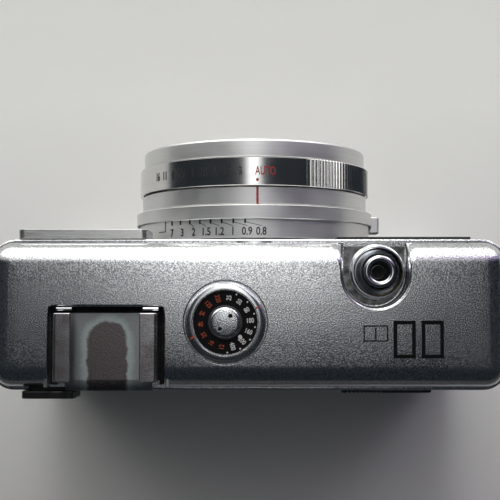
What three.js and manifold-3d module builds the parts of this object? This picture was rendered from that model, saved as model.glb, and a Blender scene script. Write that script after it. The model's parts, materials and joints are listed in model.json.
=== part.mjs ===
// A half-frame 35 mm viewfinder camera as an assembly of separate pieces.
// Millimetres. +Z is up and the lens looks along -Y.
// The origin is the middle of the body's footprint, on its base.
import * as THREE from "three";
import { mergeVertices } from "three/addons/utils/BufferGeometryUtils.js";
import Module from "manifold-3d";

const wasm = await Module();
wasm.setup();

// ---------- driving dimensions ----------
const BODY = { length: 112, depth: 32.6, height: 70, corner: 5.5 };
const SHEET = 1.0; // pressed cover thickness
const FIT = 0.1; // gap between pieces that are fixed together
const RUN = 0.2; // gap round a piece that moves

const CAP = { step: 0.8, stepZ: 64.4, fillet: 4.5 }; // the top cover steps in, then rounds over
const TOP_COVER_Z = 50; // its lower edge at the front and the sides
const DOOR = { frontY: 11, bottomZ: 9.4, topZ: 57.5, wall: 1.2 };
const BASE_COVER_Z = 9;
const BACK_Y = BODY.depth / 2;
const FRONT_Y = -BACK_Y;
const SIDE_X = BODY.length / 2;

const CASTING = { inset: 1.1, bottomZ: 9.3, topZ: 57.4, backY: 10.7 };
const CASSETTE = { x: 39.85, y: -0.5, minX: 26.5, maxX: 53.2 };
const TAKE_UP = { x: -42, y: -1.5, minX: -53.2, maxX: -30.5 };
const CHAMBER = { frontY: -13.6, bottomZ: 10.3, topZ: 56.4 };
const GATE = { width: 17.5, height: 24, filmY: 9.6, blockY: 9.0 };
const SPROCKET = { x: -23.5, y: 3.6, radius: 5.9 };

const LENS = { x: -1.25, z: 35, segments: 32 };
const BASE_PLATE_R = 28.8;
const FOCUS_RING = { scaleR: 28.2, flangeR: 28.85, innerR: 23.9, z0: 0.4, flangeZ: 4.6, z1: 7.65 };
const INDEX_RING = { radius: 27.5, z0: 7.9, z1: 11.75 };
const APERTURE_RING = { radius: 28.05, innerR: 23.9, z0: 12.0, z1: 18.25 };
const FRONT_RING = { radius: 27.1, z0: 18.5, z1: 22.6 };
const BARREL_R = 23.6;
const SHUTTER = { cavityR: 20.8, floorZ: 6.2, ceilingZ: 10.7, apertureR: 7, blades: 5 };

const BUTTON = { x: -27.6, y: -9, recessR: 7.1, floorZ: 66 };
const DIAL = { x: 4.8, y: 1.65, recessR: 9.4, floorZ: 69.3 };
const SHOE = { x: 29.74, width: 21.6, y0: -0.3, y1: 13.9, floorZ: 68.8, railZ: 73.3, gap: 14.3 };
const SHOE_POCKET = { width: 24.3, y0: -1.6 };
const LEVER = { x: -45, y: 6, z0: 58.2, z1: 61.8, slot: [18, 168], slotR: 42 };
const HINGE = { x: -56.3, y: 10.6, pinR: 0.55, barrelR: 1.2, z0: 14, z1: 49, ear: 5 };
const REWIND = { x: CASSETTE.x, y: CASSETTE.y, pocketR: 11, pocketZ: 5.2 };
const TRIPOD = { x: -14, y: 0, radius: 5, threadR: 3.175 };
const COUNTER = { x: -42, y: -2, radius: 8.5, windowR: 3.6, windowY: -7.6 };
const REWIND_BUTTON = { x: -27, y: 6, radius: 2.2 };
const BASE_SCREWS = [
  [-50, 8.4],
  [51, -11],
];
const LUG = { z: 65.8, radius: 2.35, reach: 2.7 };

// ---------- materials ----------
const metal = (color, roughness) => new THREE.MeshStandardMaterial({ color, roughness, metalness: 1 });
const plain = (color, roughness) => new THREE.MeshStandardMaterial({ color, roughness, metalness: 0 });
const SATIN_CHROME = metal(0xb4b5b8, 0.42);
const BRIGHT_CHROME = metal(0xc8c9cc, 0.15);
const ALUMINIUM = metal(0xbfc0bf, 0.33);
const STEEL = metal(0x8d8f92, 0.35);
const BRASS = metal(0xb08a45, 0.35);
const BLACK_PAINT = plain(0x121213, 0.5);
const BLACK_STEEL = metal(0x2a2b2e, 0.5);
const LEATHERETTE = plain(0x17171a, 0.75);
const GLASS = new THREE.MeshStandardMaterial({
  color: 0xb9c6d2,
  roughness: 0.05,
  transparent: true,
  opacity: 0.35,
});

// ---------- solids ----------
function solid(geometry) {
  const loose = geometry.index ? geometry.toNonIndexed() : geometry;
  const bare = new THREE.BufferGeometry().setAttribute("position", loose.getAttribute("position"));
  const merged = mergeVertices(bare, 1e-4);
  const index = Array.from(merged.index.array);
  const faces = [];
  for (let i = 0; i < index.length; i += 3) {
    const [a, b, c] = index.slice(i, i + 3);
    if (a !== b && b !== c && a !== c) faces.push([a, b, c]);
  }
  const make = (list) =>
    new wasm.Manifold(
      new wasm.Mesh({
        numProp: 3,
        vertProperties: merged.attributes.position.array,
        triVerts: new Uint32Array(list.flat()),
      }),
    );
  const made = make(faces);
  return made.volume() < 0 ? make(faces.map(([a, b, c]) => [a, c, b])) : made;
}

const indexed = (geometry) => (geometry.index ? geometry : mergeVertices(geometry));

function box(x0, x1, y0, y1, z0, z1) {
  const geometry = new THREE.BoxGeometry(x1 - x0, y1 - y0, z1 - z0);
  return solid(geometry.translate((x0 + x1) / 2, (y0 + y1) / 2, (z0 + z1) / 2));
}

// An upright cylinder or cone.
function rod(x, y, r, z0, z1, segments = 20, topR = r) {
  const geometry = new THREE.CylinderGeometry(topR, r, z1 - z0, segments);
  return solid(geometry.rotateX(Math.PI / 2).translate(x, y, (z0 + z1) / 2));
}

// A cylinder along X.
function axle(y, z, r, x0, x1, segments = 20) {
  const geometry = new THREE.CylinderGeometry(r, r, x1 - x0, segments);
  return solid(geometry.rotateZ(Math.PI / 2).translate((x0 + x1) / 2, y, z));
}

// A cylinder along Y, such as what the lens passes through.
function bore(x, z, r, y0, y1, segments = LENS.segments) {
  const geometry = new THREE.CylinderGeometry(r, r, y1 - y0, segments);
  return solid(geometry.translate(0, (y0 + y1) / 2, 0).translate(x, 0, z));
}

// A solid of revolution about Z from a closed outline of [radius, z] points.
function turned(outline, segments = LENS.segments) {
  const points = [...outline, outline[0]].map(([r, z]) => new THREE.Vector2(r, z));
  return solid(indexed(new THREE.LatheGeometry(points, segments)).rotateX(Math.PI / 2));
}

function prism(shape, z0, z1, curveSegments = 3) {
  const geometry = new THREE.ExtrudeGeometry(shape, { depth: z1 - z0, bevelEnabled: false, curveSegments });
  return solid(geometry.translate(0, 0, z0));
}

function roundedRect(length, depth, r) {
  const [x, y] = [length / 2, depth / 2];
  const shape = new THREE.Shape();
  shape.absarc(x - r, y - r, r, 0, Math.PI / 2);
  shape.absarc(-x + r, y - r, r, Math.PI / 2, Math.PI);
  shape.absarc(-x + r, -y + r, r, Math.PI, 1.5 * Math.PI);
  shape.absarc(x - r, -y + r, r, 1.5 * Math.PI, 2 * Math.PI);
  shape.closePath();
  return shape;
}

function polygon(points) {
  return new THREE.Shape(points.map(([x, y]) => new THREE.Vector2(x, y)));
}

// The body's plan, drawn in by inset, from z0 to z1.
function slab(inset, z0, z1, corner = BODY.corner - inset) {
  return prism(roundedRect(BODY.length - 2 * inset, BODY.depth - 2 * inset, corner), z0, z1);
}

// The same with one end's edge rounded over.
function filletedSlab(inset, z0, z1, fillet, roundTop) {
  const plan = roundedRect(BODY.length - 2 * inset, BODY.depth - 2 * inset, BODY.corner - inset);
  const depth = z1 - z0;
  const geometry = new THREE.ExtrudeGeometry(plan, {
    depth,
    bevelThickness: fillet,
    bevelSize: fillet,
    bevelOffset: -fillet,
    bevelSegments: 3,
    curveSegments: 3,
  });
  geometry.translate(0, 0, roundTop ? z1 - depth - fillet : z0 + fillet);
  return solid(geometry).intersect(box(-SIDE_X - 5, SIDE_X + 5, -30, 30, z0, z1));
}

// ---------- scene graph ----------
const camera = new THREE.Group();
const lens = new THREE.Group(); // its own +Z looks out of the lens
lens.position.set(LENS.x, FRONT_Y, LENS.z);
lens.rotation.x = Math.PI / 2;
camera.add(lens);

function piece(name, made, material, parent = camera) {
  const { numProp, numVert, vertProperties, triVerts } = made.getMesh();
  const positions = new Float32Array(numVert * 3);
  for (let i = 0; i < numVert; i++) {
    positions.set(vertProperties.subarray(i * numProp, i * numProp + 3), i * 3);
  }
  const geometry = new THREE.BufferGeometry();
  geometry.setAttribute("position", new THREE.BufferAttribute(positions, 3));
  geometry.setIndex(new THREE.BufferAttribute(triVerts.slice(), 1));
  const mesh = new THREE.Mesh(geometry, material);
  mesh.name = name;
  parent.add(mesh);
  return mesh;
}

// ---------- body ----------
function makeCasting() {
  const { inset, bottomZ, topZ, backY } = CASTING;
  let made = slab(inset, bottomZ, topZ).subtract(box(-60, 60, backY, 30, 0, 70));
  const { frontY, bottomZ: z0, topZ: z1 } = CHAMBER;
  made = made
    .subtract(box(CASSETTE.minX, CASSETTE.maxX, frontY, 30, z0, z1))
    .subtract(box(TAKE_UP.minX, TAKE_UP.maxX, frontY, 30, z0 + 2.5, z1))
    .subtract(box(TAKE_UP.maxX - 1, SPROCKET.x + 7, SPROCKET.y - 7, 30, z0 + 2.5, z1))
    .subtract(box(SPROCKET.x + 6.5, CASSETTE.minX + 1, GATE.blockY, 30, z0 + 2.5, z1 - 1.5));
  // The lens tube narrows to the film gate.
  const [gateX, gateZ] = [GATE.width / 2, GATE.height / 2];
  made = made
    .subtract(bore(LENS.x, LENS.z, 16.2, FRONT_Y - 1, 4))
    .subtract(box(LENS.x - gateX, LENS.x + gateX, 0, 30, LENS.z - gateZ, LENS.z + gateZ));
  // Film rails above and below the gate.
  for (const z of [LENS.z - 16.4, LENS.z + 14.8]) {
    made = made.add(box(SPROCKET.x + 7.5, CASSETTE.minX, GATE.blockY - 1, GATE.filmY, z, z + 1.6));
  }
  // Ears that hold the door's hinge pin.
  for (const ear of [HINGE.z0, HINGE.z1 - HINGE.ear]) {
    made = made
      .add(box(HINGE.x - 0.6, TAKE_UP.minX - 0.5, backY - 1.6, backY, ear, ear + HINGE.ear))
      .add(rod(HINGE.x, HINGE.y, HINGE.barrelR, ear, ear + HINGE.ear, 12));
  }
  // Holes for shafts, screws and the latch's stem.
  made = made
    .subtract(rod(HINGE.x, HINGE.y, HINGE.pinR + FIT, 5, 60, 12))
    .subtract(rod(REWIND.x, REWIND.y, 3.6, 5, 20))
    .subtract(rod(TAKE_UP.x, TAKE_UP.y, 2.3, 5, 62))
    .subtract(rod(SPROCKET.x, SPROCKET.y, 1.8, 5, 62))
    .subtract(rod(LEVER.x, LEVER.y, 2.4, 55, 62))
    .subtract(rod(BUTTON.x, BUTTON.y, 1.5 + 2 * RUN, 54, 58, 16))
    .subtract(rod(REWIND_BUTTON.x, REWIND_BUTTON.y, 1.4, 5, 20))
    .subtract(box(CASSETTE.maxX - 1, SIDE_X, 5.2, 7.6, 27.6, 38.4));
  for (const [x, y] of BASE_SCREWS) made = made.subtract(rod(x, y, 1.1, 5, 11.5, 12));
  return made;
}

function makeTopCover() {
  const skirt = slab(0, TOP_COVER_Z, CAP.stepZ);
  const cap = filletedSlab(CAP.step, CAP.stepZ - 4, BODY.height, CAP.fillet, true);
  const outer = skirt.add(cap);
  const inner = slab(SHEET, TOP_COVER_Z - 1, CAP.stepZ - SHEET).add(
    filletedSlab(CAP.step + SHEET, CAP.stepZ - 5, BODY.height - SHEET, CAP.fillet - SHEET, true),
  );
  let made = outer.subtract(inner);
  const recess = (r, z0) =>
    rod(BUTTON.x, BUTTON.y, r, z0, 72, 28).add(box(BUTTON.x - r, BUTTON.x + r, -25, BUTTON.y, z0, 72));
  const shoePocket = (grow, z0) => {
    const half = SHOE_POCKET.width / 2 + grow;
    return box(SHOE.x - half, SHOE.x + half, SHOE_POCKET.y0 - grow, 25, z0, 72);
  };
  const pockets = recess(BUTTON.recessR + SHEET, BUTTON.floorZ - SHEET)
    .add(shoePocket(SHEET, SHOE.floorZ - SHEET))
    .add(rod(DIAL.x, DIAL.y, DIAL.recessR + SHEET, DIAL.floorZ - SHEET, 72, 28));
  made = made
    .add(outer.intersect(pockets))
    .subtract(recess(BUTTON.recessR, BUTTON.floorZ))
    .subtract(shoePocket(0, SHOE.floorZ))
    .subtract(rod(DIAL.x, DIAL.y, DIAL.recessR, DIAL.floorZ, 72, 28))
    .subtract(rod(BUTTON.x, BUTTON.y, 5.35, 60, 68))
    .subtract(rod(DIAL.x, DIAL.y, 1.6, 60, 72, 16));
  made = made
    .subtract(box(23.4, 49.2, -20, -14, 55.2, 62.8)) // finder windows
    .subtract(box(38.1, 47.6, 12, 20, 59.9, 64.9)) // eyepiece
    .subtract(bore(LENS.x, LENS.z, BASE_PLATE_R + 0.3, FRONT_Y - 1, FRONT_Y + 3))
    .subtract(box(-60, 60, DOOR.frontY - 0.1, 30, 40, DOOR.topZ + 0.3));
  // The slot that the advance lever swings in, round the back corner.
  const sweep = new THREE.Shape();
  const [from, to] = LEVER.slot.map(THREE.MathUtils.degToRad);
  sweep.moveTo(0, 0);
  sweep.lineTo(LEVER.slotR * Math.cos(from), LEVER.slotR * Math.sin(from));
  sweep.absarc(0, 0, LEVER.slotR, from, to);
  sweep.closePath();
  made = made.subtract(prism(sweep, DOOR.topZ, LEVER.z1 + 0.4, 6).translate(LEVER.x, LEVER.y, 0));
  made = made.subtract(box(-53, LEVER.x, 9, 30, DOOR.topZ, LEVER.z1 + 0.4));
  for (const side of [-1, 1]) {
    made = made.subtract(axle(0, LUG.z, LUG.radius + FIT, side < 0 ? -60 : 50, side < 0 ? -50 : 60));
  }
  return made;
}

function makeBottomCover() {
  const outer = filletedSlab(0, 0, BASE_COVER_Z, 1.8, false);
  let made = outer.subtract(slab(SHEET, SHEET, BASE_COVER_Z + 1));
  made = made
    .add(rod(REWIND.x, REWIND.y, REWIND.pocketR + SHEET, 0, REWIND.pocketZ + SHEET, 28))
    .subtract(rod(REWIND.x, REWIND.y, REWIND.pocketR, -1, REWIND.pocketZ, 28))
    .subtract(rod(REWIND.x, REWIND.y, 3.5, 0, 8))
    .subtract(rod(TRIPOD.x, TRIPOD.y, TRIPOD.radius + FIT, -1, 4))
    .subtract(rod(COUNTER.x, COUNTER.windowY, COUNTER.windowR + FIT, -1, 4))
    .subtract(rod(REWIND_BUTTON.x, REWIND_BUTTON.y, REWIND_BUTTON.radius + RUN, -1, 4))
    .subtract(bore(LENS.x, LENS.z, BASE_PLATE_R + 0.3, FRONT_Y - 1, FRONT_Y + 3));
  for (const [x, y] of BASE_SCREWS) {
    made = made.subtract(rod(x, y, 1.1, -1, 4, 10));
    made = made.subtract(rod(x, y, 2.1, -1, 0.6, 12));
  }
  return made;
}

// Leatherette wrapped round the front and one side; side is -1 or 1.
function makeLeather(side) {
  const z0 = BASE_COVER_Z + 0.3;
  const z1 = TOP_COVER_Z - 0.2;
  let made = slab(0, z0, z1).subtract(slab(CASTING.inset - FIT, z0 - 1, z1 + 1));
  made = made
    .subtract(box(-60, 60, side < 0 ? 8.6 : 10.4, 30, 0, 70))
    .subtract(bore(LENS.x, LENS.z, BASE_PLATE_R + 0.3, -20, 20))
    .subtract(side < 0 ? box(LENS.x, 60, -30, 30, 0, 70) : box(-60, LENS.x, -30, 30, 0, 70));
  if (side > 0) made = made.subtract(box(50, 60, 5.2, 7.6, 27.6, 38.4));
  return made;
}

piece("main_casting", makeCasting(), BLACK_PAINT);
piece("top_cover", makeTopCover(), SATIN_CHROME);
piece("bottom_cover", makeBottomCover(), SATIN_CHROME);
piece("leather_right", makeLeather(-1), LEATHERETTE);
piece("leather_left", makeLeather(1), LEATHERETTE);

for (const side of [-1, 1]) {
  // A stud through the cover's end with an upright eye for the strap ring.
  const inner = SIDE_X - 5;
  const outer = SIDE_X + LUG.reach;
  const stud = axle(0, LUG.z, LUG.radius, side < 0 ? -outer : inner, side < 0 ? -inner : outer);
  const eye = rod(side * (outer - 1.5), 0, 0.9, 60, 72, 16);
  piece(side < 0 ? "strap_lug_right" : "strap_lug_left", stud.subtract(eye), BRIGHT_CHROME);
}

// ---------- viewfinder ----------
function makeBezel() {
  const [x0, x1, z0, z1] = [21.85, 50.1, 53, 64.9];
  const windows = box(24.4, 35.6, -30, 0, 55.6, 62.4).add(box(37.6, 48.6, -30, 0, 55.6, 62.4));
  const plan = roundedRect(x1 - x0, 2.1 * 2, 1.2);
  return prism(plan, z0, z1)
    .translate((x0 + x1) / 2, FRONT_Y, 0)
    .intersect(box(x0 - 1, x1 + 1, -30, FRONT_Y - FIT, z0, z1))
    .subtract(windows);
}

piece("finder_bezel", makeBezel(), ALUMINIUM);
piece("frame_window", box(24.6, 35.4, -16.9, -15.9, 55.8, 62.2), GLASS);
piece("finder_window", box(37.8, 48.4, -16.9, -15.9, 55.8, 62.2), GLASS);
const finderTunnel = box(38.8, 46.9, -20, 20, 60.4, 63.8);
piece("finder_block", box(36.8, 48.9, -14.3, 14.0, 58.6, 65.4).subtract(finderTunnel), BLACK_PAINT);

function makeEyepiece() {
  const plan = roundedRect(11.5, 8.2, 1.2);
  const frame = prism(plan, 0, 1.6, 2).subtract(prism(roundedRect(7, 4.2, 0.3), -1, 3, 1));
  const neckHole = prism(roundedRect(7, 4.2, 0.3), -3, 3, 1);
  const neck = prism(roundedRect(9.2, 4.7, 0.8), -1.9, 0.5, 2).subtract(neckHole);
  const made = frame.add(neck);
  return made.rotate([-90, 0, 0]).translate(42.85, BACK_Y + FIT, 62.4);
}

piece("eyepiece_frame", makeEyepiece(), BLACK_PAINT);
piece("eyepiece_lens", box(39.5, 46.2, 15.4, 16.4, 60.4, 64.4), GLASS);

// The blank plate on the front, cut round the lens.
const nameplate = box(-48.4, -19.3, FRONT_Y - 0.5, FRONT_Y - 0.05, 54, 64).subtract(
  bore(LENS.x, LENS.z, BASE_PLATE_R + 0.3, -20, -10),
);
piece("nameplate", nameplate, BLACK_PAINT);

// ---------- top controls ----------
function makeShoe() {
  const half = SHOE.width / 2;
  const wall = 1.4;
  const profile = polygon([
    [-half, SHOE.floorZ],
    [half, SHOE.floorZ],
    [half, SHOE.railZ],
    [SHOE.gap / 2, SHOE.railZ],
    [SHOE.gap / 2, SHOE.railZ - 1.2],
    [half - wall, SHOE.railZ - 1.2],
    [half - wall, SHOE.floorZ + 1],
    [-half + wall, SHOE.floorZ + 1],
    [-half + wall, SHOE.railZ - 1.2],
    [-SHOE.gap / 2, SHOE.railZ - 1.2],
    [-SHOE.gap / 2, SHOE.railZ],
    [-half, SHOE.railZ],
  ]);
  const channel = prism(profile, 0, SHOE.y1 - SHOE.y0).rotate([90, 0, 0]).translate(0, SHOE.y1, 0);
  // The floor runs on over the cover's rounded back edge as a bent tongue.
  const tongue = new THREE.Shape();
  tongue.moveTo(13.4, SHOE.floorZ + 0.1);
  tongue.lineTo(13.4, SHOE.floorZ + 1);
  tongue.quadraticCurveTo(15.6, SHOE.floorZ + 0.9, 16.3, 66.4);
  tongue.lineTo(15.6, 66.2);
  tongue.quadraticCurveTo(15.2, SHOE.floorZ - 0.2, 14.2, SHOE.floorZ + 0.1);
  tongue.closePath();
  const bent = prism(tongue, -half + 1.5, half - 1.5, 5).rotate([90, 0, 0]).rotate([0, 0, 90]);
  return channel.add(bent).translate(SHOE.x, 0, 0);
}

piece("accessory_shoe", makeShoe(), BRIGHT_CHROME);

const dialRing = turned(
  [
    [6.95, 69.6],
    [9.0, 69.6],
    [9.0, 70.7],
    [8.1, 71.6],
    [6.95, 71.6],
  ],
  28,
);
const dialDisc = turned(
  [
    [1.6, 69.4],
    [6.75, 69.4],
    [6.75, 71.1],
    [1.6, 71.1],
  ],
  28,
);
const dialNut = turned(
  [
    [0, 67.4],
    [1.45, 67.4],
    [1.45, 71.2],
    [3.6, 71.2],
    [3.6, 71.6],
    [3.1, 72.1],
    [0, 72.1],
  ],
  18,
)
  .subtract(rod(1.1, 1.35, 0.4, 71.4, 73, 8))
  .subtract(rod(-1.1, -1.35, 0.4, 71.4, 73, 8));
piece("reminder_ring", dialRing, BRIGHT_CHROME).position.set(DIAL.x, DIAL.y, 0);
piece("reminder_disc", dialDisc, BLACK_PAINT).position.set(DIAL.x, DIAL.y, 0);
piece("reminder_nut", dialNut, SATIN_CHROME).position.set(DIAL.x, DIAL.y, 0);

const collar = turned(
  [
    [5.15, 66.1],
    [6.4, 66.1],
    [6.4, 66.6],
    [5.65, 66.6],
    [5.65, 68.4],
    [5.15, 68.4],
  ],
  24,
);
piece("release_collar", collar, BRIGHT_CHROME).position.set(BUTTON.x, BUTTON.y, 0);

const button = turned(
  [
    [0, 57.0],
    [1.5, 57.0],
    [1.5, 66.6],
    [4.9, 66.6],
    [4.9, 67.2],
    [4.1, 68.2],
    [3.6, 69.4],
    [3.4, 71.2],
    [3.1, 71.5],
    [2.15, 71.5],
    [1.4, 67.8],
    [0, 67.8],
  ],
  20,
);
piece("shutter_button", button, BRIGHT_CHROME).position.set(BUTTON.x, BUTTON.y, 0);

// The release's return spring, an open coil round the button's stem.
class Coil extends THREE.Curve {
  constructor(radius, height, turns) {
    super();
    Object.assign(this, { radius, height, turns });
  }
  getPoint(t) {
    const angle = 2 * Math.PI * this.turns * t;
    return new THREE.Vector3(this.radius * Math.cos(angle), this.radius * Math.sin(angle), this.height * t);
  }
}
const wire = new THREE.Shape().absarc(0, 0, 0.3, 0, 2 * Math.PI);
const coil = new THREE.ExtrudeGeometry(wire, {
  steps: 44,
  curveSegments: 2,
  extrudePath: new Coil(2.4, 4.9, 4),
});
piece("release_spring", solid(coil), STEEL).position.set(BUTTON.x, BUTTON.y, 61.2);

// The bracket that guides the stem, standing on the casting.
const guide = box(-6, 6, -5, 5, 59.2, 60.4)
  .add(box(-6, -4.6, -5, 5, 57.45, 60.4))
  .add(box(4.6, 6, -5, 5, 57.45, 60.4))
  .subtract(rod(0, 0, 1.5 + RUN, 50, 70, 20));
piece("release_guide", guide, BRASS).position.set(BUTTON.x, BUTTON.y, 0);

// ---------- film transport ----------
const spool = turned(
  [
    [0, 9.6],
    [2.1, 9.6],
    [2.1, 15],
    [10.2, 15],
    [10.2, 16],
    [7, 16],
    [7, 53],
    [10.2, 53],
    [10.2, 54],
    [2.1, 54],
    [2.1, 57],
    [0, 57],
  ],
  24,
).subtract(box(-1, 1, 2, 8, 20, 49));
piece("take_up_spool", spool, BLACK_PAINT).position.set(TAKE_UP.x, TAKE_UP.y, 0);

function makeSprocket() {
  const teeth = 8;
  const r = SPROCKET.radius;
  let made = rod(0, 0, 1.6, 9.6, 57, 12).add(rod(0, 0, 3.6, 17, 52, 12));
  for (const z of [LENS.z - 15, LENS.z + 13]) {
    made = made.add(rod(0, 0, r - 0.6, z, z + 2, 16));
    for (let i = 0; i < teeth; i++) {
      const tooth = box(r - 1.2, r + 0.5, -0.7, 0.7, z + 0.4, z + 1.6);
      made = made.add(tooth.rotate([0, 0, (i * 360) / teeth]));
    }
  }
  return made;
}
piece("sprocket", makeSprocket(), STEEL).position.set(SPROCKET.x, SPROCKET.y, 0);

// The advance lever: a hub on the take-up side, an arm out through the slot and a thumb grip along the back.
const armPlan = new THREE.Shape();
armPlan.moveTo(3.2, -2.5);
armPlan.lineTo(9.6, 6.4);
armPlan.lineTo(14, 7.4);
armPlan.lineTo(14, 9.7);
armPlan.lineTo(6.8, 9.7);
armPlan.lineTo(-2.4, 3.4);
armPlan.absarc(0, 0, 4.1, 2.18, 5.62, false);
armPlan.closePath();
const lever = prism(armPlan, LEVER.z0 + 0.8, LEVER.z1 - 0.8, 8).add(rod(0, 0, 2.1, 55.6, LEVER.z1 - 0.8, 20));
piece("advance_lever", lever, BRIGHT_CHROME).position.set(LEVER.x, LEVER.y, 0);

const grip = new THREE.Shape();
grip.moveTo(5.2, 9.9);
grip.lineTo(24.2, 9.9);
grip.absarc(24.2, 10.5, 0.6, -Math.PI / 2, Math.PI / 2, false);
grip.lineTo(5.2, 11.1);
grip.closePath();
const gripSolid = prism(grip, LEVER.z0, LEVER.z1, 5).add(box(14.3, 24.4, 7.6, 10.2, LEVER.z0, LEVER.z1));
piece("lever_grip", gripSolid, BLACK_PAINT).position.set(LEVER.x, LEVER.y, 0);

// ---------- back door ----------
function makeDoor() {
  const { frontY, bottomZ, topZ, wall } = DOOR;
  let made = slab(0, bottomZ, topZ).subtract(slab(wall, bottomZ + wall, topZ - wall));
  made = made.subtract(box(-60, 60, -30, frontY, 0, 80));
  const z0 = HINGE.z0 + HINGE.ear + 0.3;
  const z1 = HINGE.z1 - HINGE.ear - 0.3;
  made = made
    .subtract(rod(HINGE.x, HINGE.y, HINGE.barrelR + 0.3, HINGE.z0 - 0.3, HINGE.z1 + 0.3, 12))
    .add(rod(HINGE.x, HINGE.y, HINGE.barrelR, z0, z1, 12))
    .add(box(HINGE.x - 0.9, -54.9, frontY - 0.1, 12.6, z0, z1))
    .subtract(rod(HINGE.x, HINGE.y, HINGE.pinR + FIT, 5, 60, 12));
  // The catch that the latch holds.
  return made.add(box(51.4, 52.9, 4.6, 12, 36.2, 39.2)).add(box(51.4, 55, 11.1, 12.4, 35.2, 40.2));
}
piece("rear_door", makeDoor(), BLACK_PAINT);
piece("hinge_pin", rod(HINGE.x, HINGE.y, HINGE.pinR, HINGE.z0 - 0.2, HINGE.z1 + 0.2, 12), STEEL);

const doorLeather = prism(roundedRect(102, 45, 2), 0, 0.5).rotate([90, 0, 0]);
piece("door_leather", doorLeather.translate(0, BACK_Y + 0.55, 33.45), LEATHERETTE);

piece("pressure_plate", box(-15.4, 25.2, 10.0, 10.9, 18.6, 50.4), BLACK_STEEL);

// A bowed leaf that pushes the plate on to the film.
const leaf = new THREE.Shape();
leaf.moveTo(-13, 14.8);
leaf.quadraticCurveTo(0, 8.0, 13, 14.8);
leaf.lineTo(13, 14.4);
leaf.quadraticCurveTo(0, 7.6, -13, 14.4);
leaf.closePath();
piece("pressure_spring", prism(leaf, 31.5, 37.5, 10), STEEL).position.set(4.9, 0, 0);

// The latch slides down on the left end. Its stem runs through the casting's slot, and its nose stands
// below the catch.
const latchStem = box(51.0, SIDE_X + 0.5, 5.7, 7.1, 33.4, 35.2);
const latch = box(SIDE_X + 0.15, SIDE_X + 1.4, 3.4, 9.4, 29.0, 39.6).add(latchStem);
piece("door_latch", latch, BRIGHT_CHROME);

// ---------- base ----------
const bush = rod(0, 0, TRIPOD.radius, 0.02, 8.8)
  .add(rod(0, 0, 6.6, SHEET + FIT, 2.1))
  .subtract(rod(0, 0, TRIPOD.threadR, -1, 6.5));
piece("tripod_bush", bush, STEEL).position.set(TRIPOD.x, TRIPOD.y, 0);

const counterDisc = rod(0, 0, COUNTER.radius, 2.5, 3.5, 28).add(rod(0, 0, 1.2, 2.5, 8.9, 16));
piece("counter_disc", counterDisc, BLACK_PAINT).position.set(COUNTER.x, COUNTER.y, 0);
const counterGlass = piece("counter_window", rod(0, 0, COUNTER.windowR, 0.1, 1.3, 24), GLASS);
counterGlass.position.set(COUNTER.x, COUNTER.windowY, 0);

const rewindButton = rod(0, 0, REWIND_BUTTON.radius, 0.3, 4, 24).add(rod(0, 0, 1.2, 4, 12, 16));
piece("rewind_button", rewindButton, BRIGHT_CHROME).position.set(REWIND_BUTTON.x, REWIND_BUTTON.y, 0);

BASE_SCREWS.forEach(([x, y], i) => {
  const screw = rod(0, 0, 1.95, 0.05, 0.5, 16)
    .add(rod(0, 0, 0.95, 0.4, 11, 12))
    .subtract(box(-3, 3, -0.25, 0.25, -1, 0.3));
  piece(`base_screw_${i + 1}`, screw, STEEL).position.set(x, y, 0);
});

// Rewind: a sleeve that pulls down, the spindle with its fork and disc, and a fold-out crank.
const rewind = new THREE.Group();
rewind.position.set(REWIND.x, REWIND.y, 0);
camera.add(rewind);
const sleeve = rod(0, 0, 3.2, 3.9, 9.2, 24).subtract(rod(0, 0, 1.9, 0, 12, 20));
piece("rewind_sleeve", sleeve, BRASS, rewind);
const spindle = rod(0, 0, 9.8, 2.3, 3.6, 28)
  .add(rod(0, 0, 1.7, 3, 11, 20))
  .add(box(-2.6, 2.6, -0.7, 0.7, 10.5, 13.5))
  .add(box(-4, -2, 1.7, 2.9, 0.7, 2.6))
  .add(box(-4, -2, -2.9, -1.7, 0.7, 2.6))
  .subtract(rod(6.2, 0, 2.8, 0, 5, 24));
piece("rewind_spindle", spindle, BRIGHT_CHROME, rewind);
const crank = box(-3.7, 8.4, -1.45, 1.45, 0.7, 1.7).subtract(rod(6.2, 0, 0.75, 0, 3, 16));
piece("rewind_crank", crank, BRIGHT_CHROME, rewind);
const knob = rod(6.2, 0, 2.3, 1.9, 4.4, 24).add(rod(6.2, 0, 0.6, 0.75, 2, 16));
piece("crank_knob", knob, BLACK_PAINT, rewind);

// The exposure meter's moving-coil unit, beside the finder.
piece("meter_movement", box(-3, 13, -11, -1, 57.6, 64).add(rod(5, -6, 3.2, 63, 66, 20)), BLACK_STEEL);

// ---------- lens ----------
const ring = (r0, r1, z0, z1) => [
  [r0, z0],
  [r1, z0],
  [r1, z1],
  [r0, z1],
];
piece("lens_base_plate", turned(ring(16.3, BASE_PLATE_R, -0.95, 0.1)), BRIGHT_CHROME, lens);

function makeBarrel() {
  let made = turned([
    [7.8, -8.6],
    [15.5, -8.6],
    [15.5, 0.4],
    [BARREL_R, 0.4],
    [BARREL_R, INDEX_RING.z0],
    [INDEX_RING.radius, INDEX_RING.z0],
    [INDEX_RING.radius, INDEX_RING.z1],
    [BARREL_R, INDEX_RING.z1],
    [BARREL_R, 18.25],
    [SHUTTER.cavityR, 18.25],
    [SHUTTER.cavityR, SHUTTER.floorZ],
    [SHUTTER.apertureR, SHUTTER.floorZ],
    [SHUTTER.apertureR, 5.4],
    [7.8, 5.4],
  ]);
  for (let i = 0; i < SHUTTER.blades; i++) {
    const angle = (i * 2 * Math.PI) / SHUTTER.blades;
    const [x, y] = [14 * Math.cos(angle), 14 * Math.sin(angle)];
    made = made.add(rod(x, y, 0.6, SHUTTER.floorZ - 0.2, SHUTTER.ceilingZ - 0.3, 8));
  }
  return made;
}
piece("lens_barrel", makeBarrel(), ALUMINIUM, lens);
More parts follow.
